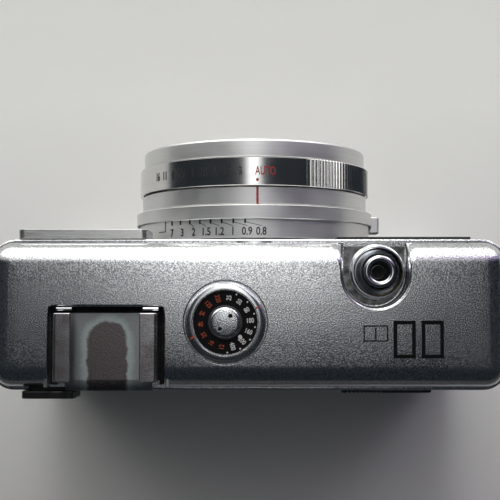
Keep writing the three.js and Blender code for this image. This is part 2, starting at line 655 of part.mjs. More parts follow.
piece(
  "shutter_cover",
  turned([
    [SHUTTER.apertureR, SHUTTER.ceilingZ],
    [20.5, SHUTTER.ceilingZ],
    [20.5, 18.1],
    [9.3, 18.1],
    [9.3, 12.5],
    [SHUTTER.apertureR, 12.5],
  ], 24),
  BLACK_STEEL,
  lens,
);

// One shutter blade, drawn with its pivot at the origin and its tip past the lens's axis.
const bladePlan = polygon([
  [1.8, -1.6],
  [1.8, 1.6],
  [-2, 4],
  [-6, 5.8],
  [-12, 2.6],
  [-15, 0],
  [-12, -2.6],
  [-6, -5.8],
  [-2, -4],
]);
for (let i = 0; i < SHUTTER.blades; i++) {
  const angle = (i * 2 * Math.PI) / SHUTTER.blades;
  const z = SHUTTER.floorZ + 0.35 + i * 0.75;
  const blade = prism(bladePlan, 0, 0.25).subtract(rod(0, 0, 0.8, -1, 1, 8));
  const mesh = piece(`shutter_blade_${i + 1}`, blade, BLACK_STEEL, lens);
  mesh.position.set(14 * Math.cos(angle), 14 * Math.sin(angle), z);
  mesh.rotation.z = angle;
}

function makeFocusRing() {
  const { scaleR, flangeR, innerR, z0, flangeZ, z1 } = FOCUS_RING;
  const made = turned([
    [innerR, z0],
    [scaleR, z0],
    [scaleR, flangeZ],
    [flangeR, flangeZ],
    [flangeR, z1],
    [innerR, z1],
  ]);
  // The finger tab on the right-hand side.
  return made.add(box(-30.7, -27.5, -2.2, 2.2, 3.2, 7.3));
}
piece("focus_ring", makeFocusRing(), ALUMINIUM, lens);
const apertureOutline = ring(APERTURE_RING.innerR, APERTURE_RING.radius, APERTURE_RING.z0, APERTURE_RING.z1);
piece("aperture_ring", turned(apertureOutline), ALUMINIUM, lens);
piece(
  "front_ring",
  turned([
    [21.5, FRONT_RING.z0],
    [FRONT_RING.radius, FRONT_RING.z0],
    [FRONT_RING.radius, FRONT_RING.z1 - 0.5],
    [FRONT_RING.radius - 0.5, FRONT_RING.z1],
    [25.2, FRONT_RING.z1],
    [24.3, 21.6],
    [24.3, 19.3],
    [21.5, 19.3],
  ]),
  ALUMINIUM,
  lens,
);
piece("film_speed_ring", turned(ring(20.75, 24.0, 19.6, 22.0), 32), BLACK_PAINT, lens);
piece("photocell", turned(ring(13.3, 21.2, 18.5, 19.3), 24), BLACK_STEEL, lens);
piece("photocell_window", turned(ring(13.3, 20.4, 19.6, 21.4), 24), GLASS, lens);
piece(
  "name_ring",
  turned([
    [9.6, 18.5],
    [12.9, 18.5],
    [12.9, 21.8],
    [12.2, 21.8],
    [9.6, 20],
  ], 24),
  BLACK_PAINT,
  lens,
);

// A lens element: flat at the rim, domed both ways.
function element(r, z0, z1, bulge0, bulge1) {
  return turned(
    [
      [0, z0 - bulge0],
      [r * 0.55, z0 - bulge0 * 0.7],
      [r, z0],
      [r, z1],
      [r * 0.55, z1 + bulge1 * 0.7],
      [0, z1 + bulge1],
    ],
    28,
  );
}
piece("front_element", element(9.0, 15, 17.6, 0.8, 1.9), GLASS, lens);
piece("rear_element", element(7.5, -7.4, -4.4, 0.9, 1.1), GLASS, lens);

export default camera;
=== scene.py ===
"""A 1960s half-frame camera, seen from above with its lens pointing away from the viewer.

Shapes are drawn in millimetres and turned into metres when a piece is added. Places come from the CAD frame.
"""

import json
import math

import bmesh
import bpy
from mathutils import Matrix, Vector


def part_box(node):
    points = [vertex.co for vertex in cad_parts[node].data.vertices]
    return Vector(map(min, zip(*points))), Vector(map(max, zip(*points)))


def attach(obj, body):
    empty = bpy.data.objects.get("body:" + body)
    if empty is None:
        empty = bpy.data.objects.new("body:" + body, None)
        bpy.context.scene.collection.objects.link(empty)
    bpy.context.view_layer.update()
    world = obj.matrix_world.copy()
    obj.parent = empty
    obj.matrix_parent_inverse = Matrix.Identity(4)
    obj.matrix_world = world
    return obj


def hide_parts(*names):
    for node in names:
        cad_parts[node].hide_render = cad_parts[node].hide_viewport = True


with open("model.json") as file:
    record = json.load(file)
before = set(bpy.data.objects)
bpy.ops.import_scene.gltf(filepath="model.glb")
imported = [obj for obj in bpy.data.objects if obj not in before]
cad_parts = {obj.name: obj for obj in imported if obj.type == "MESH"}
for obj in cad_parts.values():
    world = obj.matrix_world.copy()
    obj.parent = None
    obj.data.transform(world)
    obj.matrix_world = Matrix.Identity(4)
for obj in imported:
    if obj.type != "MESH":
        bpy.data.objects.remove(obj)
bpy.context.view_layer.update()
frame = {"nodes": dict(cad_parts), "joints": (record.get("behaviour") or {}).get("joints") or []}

MM = 0.001
TAU = 2 * math.pi


def box_mm(node):
    """A CAD node's lowest and highest corners, in millimetres."""
    lo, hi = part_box(node)
    return lo / MM, hi / MM


def middle(node):
    lo, hi = box_mm(node)
    return (lo + hi) / 2


# ---------- places taken from the frame ----------
COVER_LO, COVER_HI = box_mm("top_cover")
BASE_HI = box_mm("bottom_cover")[1]
HALF_X = COVER_HI.x
HALF_Y = COVER_HI.y
TOP_Z = COVER_HI.z
CORNER = 5.5
LENS = middle("aperture_ring")
BUTTON = middle("shutter_button")
DIAL = middle("reminder_ring")
SHOE_LO, SHOE_HI = box_mm("accessory_shoe")
SHOE_X = (SHOE_LO.x + SHOE_HI.x) / 2
LEVER_AXIS = Vector(frame["joints"][[j["name"] for j in frame["joints"]].index("lever_swing")]["pos_m"]) / MM
ARCH_CENTRE_Y = 5.6
ARCH_R = 4.2
DOOR_HI = box_mm("rear_door")[1]
LENS_HOLE_R = 29.1

# The lens's own frame: +Z out of the lens, +Y up, with the body's front at zero.
LENS_FRAME = Matrix.Translation((LENS.x, -HALF_Y, LENS.z)) @ Matrix.Rotation(math.pi / 2, 4, "X")


# ---------- materials ----------
class Nodes:
    """A short way to write a node tree."""

    def __init__(self, material):
        self.tree = material.node_tree
        self.shader = self.tree.nodes["Principled BSDF"]
        self.coords = self.tree.nodes.new("ShaderNodeTexCoord").outputs["Object"]

    def add(self, kind, inputs=None, **settings):
        node = self.tree.nodes.new("ShaderNode" + kind)
        for name, value in settings.items():
            setattr(node, name, value)
        for name, value in (inputs or {}).items():
            self.feed(node.inputs[name], value)
        return node

    def feed(self, socket, value):
        if isinstance(value, bpy.types.NodeSocket):
            self.tree.links.new(value, socket)
        else:
            socket.default_value = value

    def set(self, name, value):
        """Links or sets one input of the surface."""
        self.feed(self.shader.inputs[name], value)

    def noise(self, scale, detail=2.0, roughness=0.5, coords=None):
        inputs = {"Scale": scale, "Detail": detail, "Roughness": roughness, "Vector": coords or self.coords}
        return self.add("TexNoise", inputs).outputs["Fac"]

    def voronoi(self, scale, feature="F1", randomness=1.0):
        inputs = {"Scale": scale, "Randomness": randomness, "Vector": self.coords}
        return self.add("TexVoronoi", inputs, feature=feature).outputs["Distance"]

    def stretched(self, x, y, z):
        return self.add("Mapping", {"Vector": self.coords, "Scale": (x, y, z)}).outputs["Vector"]

    def spread(self, value, lo, hi, to_lo, to_hi):
        inputs = {"Value": value, "From Min": lo, "From Max": hi, "To Min": to_lo, "To Max": to_hi}
        return self.add("MapRange", inputs).outputs["Result"]

    def blend(self, factor, a, b):
        """Colour a where factor is 0 and colour b where it is 1."""
        node = self.tree.nodes.new("ShaderNodeMix")
        node.data_type = "RGBA"
        for index, value in ((0, factor), (6, a), (7, b)):
            self.feed(node.inputs[index], (*value, 1) if isinstance(value, tuple) else value)
        return node.outputs[2]

    def math(self, operation, a, b):
        node = self.tree.nodes.new("ShaderNodeMath")
        node.operation = operation
        self.feed(node.inputs[0], a)
        self.feed(node.inputs[1], b)
        return node.outputs[0]

    def bump(self, height, distance, strength=1.0):
        node = self.add("Bump", {"Height": height, "Distance": distance * MM, "Strength": strength})
        self.tree.links.new(node.outputs["Normal"], self.shader.inputs["Normal"])


def material(name, color, roughness, metallic=0.0, **inputs):
    made = bpy.data.materials.new(name)
    made.use_nodes = True
    nodes = Nodes(made)
    nodes.shader.inputs["Base Color"].default_value = (*color, 1)
    nodes.shader.inputs["Roughness"].default_value = roughness
    nodes.shader.inputs["Metallic"].default_value = metallic
    for key, value in inputs.items():
        nodes.shader.inputs[key.replace("_", " ")].default_value = value
    return made, nodes


def satin_chrome():
    """Bead-blasted plating: a fine sparkling grain, with faint clouding and handling marks."""
    made, n = material("satin_chrome", (0.6, 0.61, 0.62), 0.22, 1.0)
    grain = n.noise(4300, 0.0, 0.5)
    cloud = n.noise(55, 3.0, 0.6)
    tone = n.blend(n.spread(grain, 0.36, 0.64, 0, 1), (0.36, 0.37, 0.38), (0.88, 0.89, 0.9))
    n.set("Base Color", n.blend(n.spread(cloud, 0.35, 0.7, 0, 0.35), tone, (0.5, 0.5, 0.5)))
    n.set("Roughness", n.spread(cloud, 0.3, 0.7, 0.2, 0.25))
    n.bump(grain, 0.016, 0.7)
    return made


def bright_chrome():
    made, n = material("bright_chrome", (0.68, 0.69, 0.71), 0.12, 1.0)
    smear = n.noise(160, 4.0, 0.6)
    scratch = n.noise(900, 2.0, 0.5, n.stretched(1, 12, 12))
    n.set("Roughness", n.spread(smear, 0.3, 0.75, 0.09, 0.22))
    tone = n.blend(n.spread(smear, 0.4, 0.8, 0, 1), (0.7, 0.71, 0.73), (0.58, 0.58, 0.59))
    n.set("Base Color", tone)
    n.bump(scratch, 0.002, 0.3)
    return made


def arch_chrome():
    """The shoe's floor: a dull brown patch inside a bright arch, and greyer metal outside it."""
    made, n = material("arch_chrome", (0.5, 0.52, 0.53), 0.3, 1.0)
    axes = n.add("SeparateXYZ", {"Vector": n.coords}).outputs
    ragged = n.math("MULTIPLY", n.math("SUBTRACT", n.noise(420, 4.0, 0.65), 0.5), 0.0022)
    across = n.math("SUBTRACT", axes["X"], (SHOE_X + 0.3) * MM)
    behind = n.math("MINIMUM", n.math("SUBTRACT", axes["Y"], ARCH_CENTRE_Y * MM), 0.0)
    spot_place = n.add("CombineXYZ", {"X": across, "Y": behind, "Z": 0.0}).outputs["Vector"]
    away = n.add("VectorMath", {0: spot_place}, operation="LENGTH").outputs["Value"]
    away = n.math("ADD", away, ragged)
    grain = n.noise(5000, 1.0, 0.5)
    inner = n.spread(away, (ARCH_R - 0.25) * MM, (ARCH_R + 0.25) * MM, 0, 1)
    outer = n.spread(away, (ARCH_R + 0.6) * MM, (ARCH_R + 1.8) * MM, 0, 1)
    tone = n.blend(outer, n.blend(inner, (0.1, 0.075, 0.075), (0.45, 0.52, 0.5)), (0.27, 0.29, 0.29))
    light = n.spread(grain, 0.4, 0.6, 0, 0.3)
    n.set("Base Color", n.blend(light, tone, (0.66, 0.66, 0.66)))
    n.set("Roughness", n.spread(inner, 0, 1, 0.34, 0.44))
    n.bump(grain, 0.014, 0.6)
    return made


def rail_reflection_chrome():
    """The shoe's rails, darkened and tinted brown: a painted reflection of the dark room above."""
    made, n = material("rail_reflection_chrome", (0.34, 0.31, 0.31), 0.26, 1.0)
    grain = n.noise(3000, 1.5, 0.5)
    cloud = n.noise(240, 3.0, 0.6)
    tone = n.blend(n.spread(cloud, 0.35, 0.65, 0, 1), (0.27, 0.23, 0.23), (0.42, 0.41, 0.42))
    n.set("Base Color", n.blend(n.spread(grain, 0.4, 0.6, 0, 0.3), tone, (0.6, 0.6, 0.6)))
    n.bump(grain, 0.02, 0.5)
    return made


def recess_painted_shade_metal():
    """Dark, uneven metal: painted shade for the bottom of the button's recess."""
    made, n = material("recess_painted_shade", (0.12, 0.12, 0.12), 0.3, 1.0)
    patches = n.noise(700, 3.0, 0.6)
    tone = n.blend(n.spread(patches, 0.35, 0.65, 0, 1), (0.07, 0.07, 0.07), (0.26, 0.26, 0.26))
    n.set("Base Color", tone)
    n.bump(patches, 0.03, 0.7)
    return made


def turned_aluminium(name, color, roughness, anisotropy):
    """Turned rings: fine circular tool marks round the lens's axis."""
    made, n = material(name, color, roughness, 1.0, Anisotropic=anisotropy)
    tangent = n.add("Tangent", direction_type="RADIAL", axis="Y")
    n.set("Tangent", tangent.outputs["Tangent"])
    lines = n.noise(60, 3.0, 0.7, n.stretched(0.05, 120, 0.05))
    cloud = n.noise(90, 3.0, 0.6)
    dark = tuple(c * 0.86 for c in color)
    n.set("Base Color", n.blend(n.spread(lines, 0.35, 0.65, 0, 1), dark, color))
    n.set("Roughness", n.spread(cloud, 0.3, 0.7, roughness * 0.85, roughness * 1.2))
    n.bump(lines, 0.004, 0.35)
    return made


def brushed(name, color, roughness, stretch):
    made, n = material(name, color, roughness, 1.0)
    lines = n.noise(220, 3.0, 0.6, n.stretched(*stretch))
    n.set("Roughness", n.spread(lines, 0.3, 0.7, roughness * 0.75, roughness * 1.25))
    n.set("Base Color", n.blend(lines, tuple(c * 0.8 for c in color), color))
    n.bump(lines, 0.006, 0.4)
    return made


def black_paint(
    name="black_paint", color=(0.011, 0.011, 0.012), roughness=0.38, grain_scale=1800, height=0.012
):
    made, n = material(name, color, roughness, 0.0)
    grain = n.noise(grain_scale, 2.0, 0.6)
    cloud = n.noise(120, 3.0, 0.6)
    n.set("Roughness", n.spread(cloud, 0.3, 0.7, roughness * 0.85, roughness * 1.25))
    tone = n.blend(n.spread(grain, 0.3, 0.7, 0, 1), color, tuple(c * 1.7 for c in color))
    n.set("Base Color", tone)
    n.bump(grain, height, 0.6)
    return made


def leatherette():
    """Embossed vinyl: rounded pebbles with finer creases between them."""
    made, n = material("leatherette", (0.012, 0.012, 0.013), 0.5, 0.0)
    pebble = n.voronoi(1050, "SMOOTH_F1")
    crease = n.voronoi(1050, "DISTANCE_TO_EDGE")
    fine = n.noise(4200, 2.0, 0.6)
    height = n.math("ADD", n.math("MULTIPLY", pebble, -0.8), n.math("MULTIPLY", fine, 0.18))
    n.set("Roughness", n.spread(crease, 0.0, 0.25, 0.72, 0.42))
    # The creases are coloured darker than the pebbles: painted shade.
    crease_painted_shade = n.spread(crease, 0.0, 0.2, 0, 1)
    n.set("Base Color", n.blend(crease_painted_shade, (0.006, 0.006, 0.006), (0.02, 0.02, 0.021)))
    n.bump(height, 0.16, 0.9)
    return made


def ink(name, color):
    """Paint sunk into an engraving, slightly uneven and matt."""
    made, n = material(name, color, 0.55)
    blot = n.noise(1500, 3.0, 0.6)
    tone = n.blend(n.spread(blot, 0.35, 0.7, 0, 1), color, tuple(c * 0.72 for c in color))
    n.set("Base Color", tone)
    n.bump(blot, 0.01, 0.5)
    return made


def glass(name, tint, coat_tint=None):
    made, n = material(name, tint, 0.03, 0.0, IOR=1.52)
    n.shader.inputs["Transmission Weight"].default_value = 1.0
    if coat_tint:
        n.shader.inputs["Specular Tint"].default_value = (*coat_tint, 1)
    smear = n.noise(220, 3.0, 0.6)
    n.set("Roughness", n.spread(smear, 0.3, 0.75, 0.01, 0.05))
    return made


def plastic(name, color, roughness):
    made, n = material(name, color, roughness, 0.0)
    fine = n.noise(900, 3.0, 0.6)
    n.set("Roughness", n.spread(fine, 0.3, 0.7, roughness * 0.8, roughness * 1.3))
    n.set("Base Color", n.blend(fine, color, tuple(c * 1.5 for c in color)))
    n.bump(fine, 0.004, 0.4)
    return made


SATIN = satin_chrome()
CHROME = bright_chrome()
SHOE_FLOOR_CHROME = arch_chrome()
RAIL_PAINTED_REFLECTION = rail_reflection_chrome()
RECESS_SHADE = recess_painted_shade_metal()
RING = turned_aluminium("ring_aluminium", (0.76, 0.76, 0.75), 0.42, 0.0)
POLISHED_RING = turned_aluminium("polished_ring", (0.74, 0.73, 0.72), 0.17, 0.3)
BEZEL = brushed("bezel_aluminium", (0.78, 0.78, 0.76), 0.3, (0.5, 40, 40))
STEEL = brushed("brushed_steel", (0.5, 0.5, 0.51), 0.32, (1, 1, 16))
BRASS = brushed("turned_brass", (0.66, 0.5, 0.26), 0.32, (1, 1, 12))
PAINT = black_paint()
CAST_PAINT = black_paint("cast_black_paint", (0.01, 0.01, 0.01), 0.55, 700, 0.05)
BLACKENED = black_paint("blackened_steel", (0.022, 0.022, 0.025), 0.42, 1500, 0.008)
BLACK_PLASTIC = plastic("black_plastic", (0.012, 0.012, 0.012), 0.2)
# Near black: painted shade at the bottoms of deep gaps and holes.
PAINTED_SHADE_BLACK = plastic("painted_shade", (0.003, 0.003, 0.003), 0.9)
DEEP_BLACK = plastic("deep_black", (0.002, 0.002, 0.0022), 0.45)
DEEP_BLACK.node_tree.nodes["Principled BSDF"].inputs["Specular IOR Level"].default_value = 0.12
LEATHER = leatherette()
CLEAR = glass("clear_glass", (0.93, 0.96, 0.97))
COATED = glass("coated_glass", (0.93, 0.94, 0.98), (0.75, 0.6, 1.0))
BLACK_INK = ink("black_ink", (0.012, 0.012, 0.013))
RED_INK = ink("red_ink", (0.36, 0.018, 0.02))
ORANGE_INK = ink("orange_ink", (0.34, 0.05, 0.01))
WHITE_INK = ink("white_ink", (0.68, 0.68, 0.66))
CELL = plastic("photocell_amber", (0.035, 0.022, 0.012), 0.25)


# ---------- drawing ----------
def rounded(points, radius, steps=4):
    """A closed outline with every corner rounded; a point may carry its own radius as a third number."""
    made = []
    count = len(points)
    for i, point in enumerate(points):
        here = Vector(point[:2])
        before = Vector(points[i - 1][:2])
        after = Vector(points[(i + 1) % count][:2])
        r = point[2] if len(point) > 2 else radius
        to_before = before - here
        to_after = after - here
        if r <= 0 or to_before.length < 1e-6 or to_after.length < 1e-6:
            made.append((here.x, here.y))
            continue
        half = to_before.angle(to_after) / 2
        reach = r / math.tan(half) if half > 1e-3 else r
        reach = min(reach, 0.49 * to_before.length, 0.49 * to_after.length)
        a = here + to_before.normalized() * reach
        b = here + to_after.normalized() * reach
        if (a - b).length < 1e-4:
            made.append((here.x, here.y))
            continue
        for k in range(steps + 1):
            t = k / steps
            p = a * (1 - t) ** 2 + here * 2 * t * (1 - t) + b * t**2
            made.append((p.x, p.y))
    return made


def even(count, start=0.0, end=TAU):
    """Angles spaced evenly from start, leaving out end."""
    return [start + (end - start) * i / count for i in range(count)]


def revolve(outline, angles=160):
    """A solid of revolution about Z.

    The outline is closed, of (radius, z), or a function of the angle that gives one.
    """
    angles = even(angles) if isinstance(angles, int) else angles
    bm = bmesh.new()
    columns = []
    axis = {}
    for angle in angles:
        points = outline(angle) if callable(outline) else outline
        column = []
        for i, (r, z) in enumerate(points):
            if r < 1e-6:
                if i not in axis:
                    axis[i] = bm.verts.new((0, 0, z))
                column.append(axis[i])
            else:
                column.append(bm.verts.new((r * math.cos(angle), r * math.sin(angle), z)))
        columns.append(column)
    for k, column in enumerate(columns):
        after = columns[(k + 1) % len(columns)]
        for i in range(len(column)):
            j = (i + 1) % len(column)
            corners = []
            for v in (column[i], after[i], after[j], column[j]):
                if v not in corners:
                    corners.append(v)
            if len(corners) > 2:
                bm.faces.new(corners)
    return tidy(bm)


def tidy(bm):
    bmesh.ops.remove_doubles(bm, verts=bm.verts, dist=1e-5)
    bmesh.ops.recalc_face_normals(bm, faces=bm.faces)
    return bm


def loft(rings, close=False):
    """Skins a list of equally long loops. The ends are capped, or joined to each other if close is true."""
    bm = bmesh.new()
    loops = [[bm.verts.new(p) for p in points] for points in rings]
    pairs = list(zip(loops, loops[1:]))
    if close:
        pairs.append((loops[-1], loops[0]))
    else:
        bm.faces.new(loops[0])
        bm.faces.new(loops[-1])
    for a, b in pairs:
        for i in range(len(a)):
            j = (i + 1) % len(a)
            bm.faces.new((a[i], a[j], b[j], b[i]))
    bmesh.ops.recalc_face_normals(bm, faces=bm.faces)
    return bm


def prism(outline, z0, z1):
    return loft([[(x, y, z) for x, y in outline] for z in (z0, z1)])


def block(x0, x1, y0, y1, z0, z1):
    return prism([(x0, y0), (x1, y0), (x1, y1), (x0, y1)], z0, z1)


def rod(x, y, r, z0, z1, count=48):
    return prism([(x + r * math.cos(a), y + r * math.sin(a)) for a in even(count)], z0, z1)


def shift(x, y, z):
    return Matrix.Translation((x, y, z))


def turn(angle, axis):
    return Matrix.Rotation(angle, 4, axis)


def moved(bm, matrix):
    bm.transform(matrix)
    return bm


def joined(*parts):
    """Several closed shapes as one mesh."""
    bm = bmesh.new()
    for part in parts:
        mesh = bpy.data.meshes.new("part")
        part.to_mesh(mesh)
        part.free()
        bm.from_mesh(mesh)
        bpy.data.meshes.remove(mesh)
    return bm


def plan(inset, z, corner=CORNER, steps=10):
    """The body's plan, drawn in by inset."""
    r = max(corner - inset, 0.35)
    x, y = HALF_X - inset, HALF_Y - inset
    points = []
    for sx, sy, start in ((1, 1, 0), (-1, 1, 1), (-1, -1, 2), (1, -1, 3)):
        for k in range(steps + 1):
            a = (start + k / steps) * math.pi / 2
            points.append((sx * (x - r) + r * math.cos(a), sy * (y - r) + r * math.sin(a), z))
        if sx == -sy:
            # Points along the straight ends, so that they can follow the crown.
            points += [(sx * x, sy * (y - r) * (1 - k / 6), z) for k in range(1, 12)]
    return points


def combine(bm, others, operation):
    """bm joined with, or cut by, each of the others."""
    target = temporary(bm)
    for other in others:
        cutter = temporary(other)
        modifier = target.modifiers.new("combine", "BOOLEAN")
        modifier.operation = operation
        modifier.solver = "EXACT"
        modifier.object = cutter
        evaluated = target.evaluated_get(bpy.context.evaluated_depsgraph_get())
        mesh = bpy.data.meshes.new_from_object(evaluated)
        target.modifiers.clear()
        target.data = mesh
        bpy.data.objects.remove(cutter)
    result = bmesh.new()
    result.from_mesh(target.data)
    bpy.data.objects.remove(target)
    return result


def cut(bm, *cutters):
    return combine(bm, cutters, "DIFFERENCE")


def fuse(bm, *others):
    return combine(bm, others, "UNION")


def common(bm, *others):
    return combine(bm, others, "INTERSECT")


def placed(name, data):
    """A new object in the scene."""
    thing = bpy.data.objects.new(name, data)
    bpy.context.scene.collection.objects.link(thing)
    return thing


def mesh_object(name, bm):
    """The drawing as an object; the drawing itself is freed."""
    mesh = bpy.data.meshes.new(name)
    bm.to_mesh(mesh)
    bm.free()
    return placed(name, mesh)


def temporary(bm):
    thing = mesh_object("temporary", bm)
    bpy.context.view_layer.update()
    return thing


def add(name, bm, look, replaces=(), bevel=0.0, sharp=32, local=None, body="camera_body"):
    """Turns a drawing in millimetres into a finished piece in metres, which rides on the named body."""
    if local is not None:
        bm.transform(local)
    bm.transform(Matrix.Scale(MM, 4))
    limit = math.radians(sharp)
    for face in bm.faces:
        face.smooth = True
    for edge in bm.edges:
        edge.smooth = len(edge.link_faces) == 2 and edge.calc_face_angle(0) < limit
    piece = mesh_object(name, bm)
    piece.data.materials.append(look)
    if bevel:
        round_edges(piece, bevel)
    weigh = piece.modifiers.new("weighted_normals", "WEIGHTED_NORMAL")
    weigh.keep_sharp = True
    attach(piece, body)
    if replaces:
        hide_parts(*replaces)
    return piece


def round_edges(piece, width, segments=3, angle=35):
    modifier = piece.modifiers.new("round_edges", "BEVEL")
    modifier.width = width * MM
    modifier.segments = segments
    modifier.limit_method = "ANGLE"
    modifier.angle_limit = math.radians(angle)
    modifier.harden_normals = False


def lettering(text, size, width=0.72, weight=0.0, depth=0.1):
    """Flat figures centred on the origin, reading along X with their tops towards +Y."""
    curve = bpy.data.curves.new("figures", "FONT")
    curve.body = text
    curve.size = size
    curve.extrude = depth / 2
    curve.offset = weight
    curve.align_x = "CENTER"
    curve.align_y = "CENTER"
    curve.resolution_u = 3
    thing = placed("figures", curve)
    bpy.context.view_layer.update()
    mesh = bpy.data.meshes.new_from_object(thing.evaluated_get(bpy.context.evaluated_depsgraph_get()))
    bm = bmesh.new()
    bm.from_mesh(mesh)
    bpy.data.objects.remove(thing)
    bmesh.ops.remove_doubles(bm, verts=bm.verts, dist=1e-4)
    bm.transform(Matrix.Diagonal((width, 1, 1, 1)))
    return bm


def wrapped(bm, angle, radius, z):
    """Bends a flat drawing on to a cylinder about Z: X runs round it and Y along it. Angle 0 is the top."""
    for v in bm.verts:
        a = math.radians(angle) + v.co.x / radius
        r = radius + v.co.z
        v.co = Vector((-r * math.sin(a), r * math.cos(a), z + v.co.y))
    return bm


def strip(points, width, depth=0.1):
    """A line of the given width through flat points, as a thin solid."""
    parts = []
    for (x0, y0), (x1, y1) in zip(points, points[1:]):
        along = Vector((x1 - x0, y1 - y0)).normalized() * width / 2
        side = Vector((-along.y, along.x))
        corners = [
            (x0 - along.x * 0.9 + side.x, y0 - along.y * 0.9 + side.y),
            (x1 + along.x * 0.9 + side.x, y1 + along.y * 0.9 + side.y),
            (x1 + along.x * 0.9 - side.x, y1 + along.y * 0.9 - side.y),
            (x0 - along.x * 0.9 - side.x, y0 - along.y * 0.9 - side.y),
        ]
        parts.append(prism(corners, -depth / 2, depth / 2))
    return joined(*parts)


def spot(x, y, r, depth=0.1, count=20):
    return rod(x, y, r, -depth / 2, depth / 2, count)


# ---------- top cover ----------
STEP_Z = 64.4
STEP_IN = 0.85
CAP_R = 4.6
CROWN = 0.3
SHEET = 1.0
RECESS_X, RECESS_Y = BUTTON.x + 0.6, BUTTON.y + 0.6
BUTTON_RECESS = 6.9
BUTTON_FLOOR = 66.0
DIAL_RECESS = 8.85
DIAL_FLOOR = 69.3
POCKET_X = SHOE_X + 0.25
POCKET_HALF = 12.25
POCKET_FRONT = SHOE_LO.y - 1.5
MOAT_FLOOR = 66.9


def cap_rings(inset_by, drop):
    """The cap's skin from the step up to the middle, moved in and down for the inside of the sheet."""
    levels = []
    for k in range(11):
        a = k / 10 * math.pi / 2
        levels.append((STEP_IN + CAP_R - CAP_R * math.cos(a), TOP_Z - CAP_R + CAP_R * math.sin(a)))
    levels += [(inset, TOP_Z) for inset in (7.5, 10, 12.5, 14.5)]
    rings = []
    for inset, z in levels:
        points = plan(min(inset + inset_by, HALF_Y - 0.9), z - drop)
        rings.append([(x, y, z - CROWN * (y / HALF_Y) ** 2) for x, y, z in points])
    return rings


def surface_height(y):
    """The cap's height over a point, down to the step."""
    flat = HALF_Y - STEP_IN - CAP_R
    over = min(max(abs(y) - flat, 0), CAP_R)
    z = TOP_Z - CAP_R + math.sqrt(CAP_R**2 - over**2) - CROWN * (y / HALF_Y) ** 2
    return max(z, STEP_Z - 0.6)


def u_outline(r, front=-26):
    """A round-backed slot, open to the front."""
    angles = [k / 32 * math.pi for k in range(33)]
    arc = [(RECESS_X + r * math.cos(a), RECESS_Y + r * math.sin(a)) for a in angles]
    steps = [RECESS_Y + (front - RECESS_Y) * k / 24 for k in range(1, 25)]
    return [(RECESS_X + r, y) for y in reversed(steps)] + arc + [(RECESS_X - r, y) for y in steps]


def flared(outline_of, floor, rim, foot=0.35, extra=None):
    """A cutter with a rounded foot, and a rim that rolls over into the surface round it."""
    base = outline_of(0)
    heights = [surface_height(y) for _, y in base]
    rims = [rim + (extra(y) if extra else 0) for _, y in base]
    levels = []
    for k in range(4):
        a = k / 3 * math.pi / 2
        points = outline_of(-foot * (1 - math.sin(a)))
        levels.append([(x, y, floor + foot * (1 - math.cos(a))) for x, y in points])
    outwards = [Vector(b) - Vector(a) for a, b in zip(base, outline_of(1))]
    for k in range(7):
        a = k / 6 * math.pi / 2
        level = []
        for point, out, height, r in zip(base, outwards, heights, rims):
            place = Vector(point) + out * r * (1 - math.cos(a))
            z = max(height - 0.02 - r + r * math.sin(a), floor + foot + 0.01 * k)
            level.append((place.x, place.y, z))
        levels.append(level)
    levels.append([(x, y, TOP_Z + 5) for x, y, _ in levels[-1]])
    return loft(levels)


def corner_flare(y):
    """The recess opens wider where it runs out through the front edge."""
    near = min(max((-9.5 - y) / 5, 0), 1)
    return 1.5 * near * near * (3 - 2 * near)


def pocket_outline(offset):
    half = POCKET_HALF + offset
    y0 = POCKET_FRONT - offset
    r = 1.6 + max(offset, 0)
    corners = [(POCKET_X - half, y0), (POCKET_X + half, y0)]
    corners += [(POCKET_X + half, y, 0) for y in range(4, 28, 2)]
    corners += [(POCKET_X - half, y, 0) for y in range(26, 2, -2)]
    return rounded(corners, r, 6)


def circle_outline(x, y, r, count=96):
    turns = [(math.cos(a), math.sin(a)) for a in even(count)]
    return lambda offset: [(x + (r + offset) * c, y + (r + offset) * s) for c, s in turns]


ICON_Z = 0.16


def outline_mark(x0, x1, y0, y1, line):
    """An upright rectangle drawn in one line's width, tall enough to cut with."""
    return cut(block(x0, x1, y0, y1, -2, 2), block(x0 + line, x1 - line, y0 + line, y1 - line, -3, 3))


def half_frame_icon():
    """A generic sign: two upright half frames in bold, and a full frame split in two in a fine line."""
    bold = 0.8
    fine = 0.28
    marks = [outline_mark(x, x + 4.7, 1.3, 9.2, bold) for x in (-35.2, -41.1)]
    marks.append(outline_mark(-29.4, -24.2, 2.3, 5.7, fine))
    marks.append(block(-26.95, -26.65, 2.7, 5.3, -2, 2))
    return marks


def lever_slot():
    """The path that the advance lever sweeps through the cover's back."""
    reach, z0, z1 = 42, DOOR_HI.z, 62.2
    angles = [math.radians(18 + 150 * k / 24) for k in range(25)]
    fan = [(LEVER_AXIS.x, LEVER_AXIS.y)]
    fan += [(LEVER_AXIS.x + reach * math.cos(a), LEVER_AXIS.y + reach * math.sin(a)) for a in angles]
    return prism(fan, z0, z1), block(-53, LEVER_AXIS.x, 9, 30, z0 + 0.001, z1)


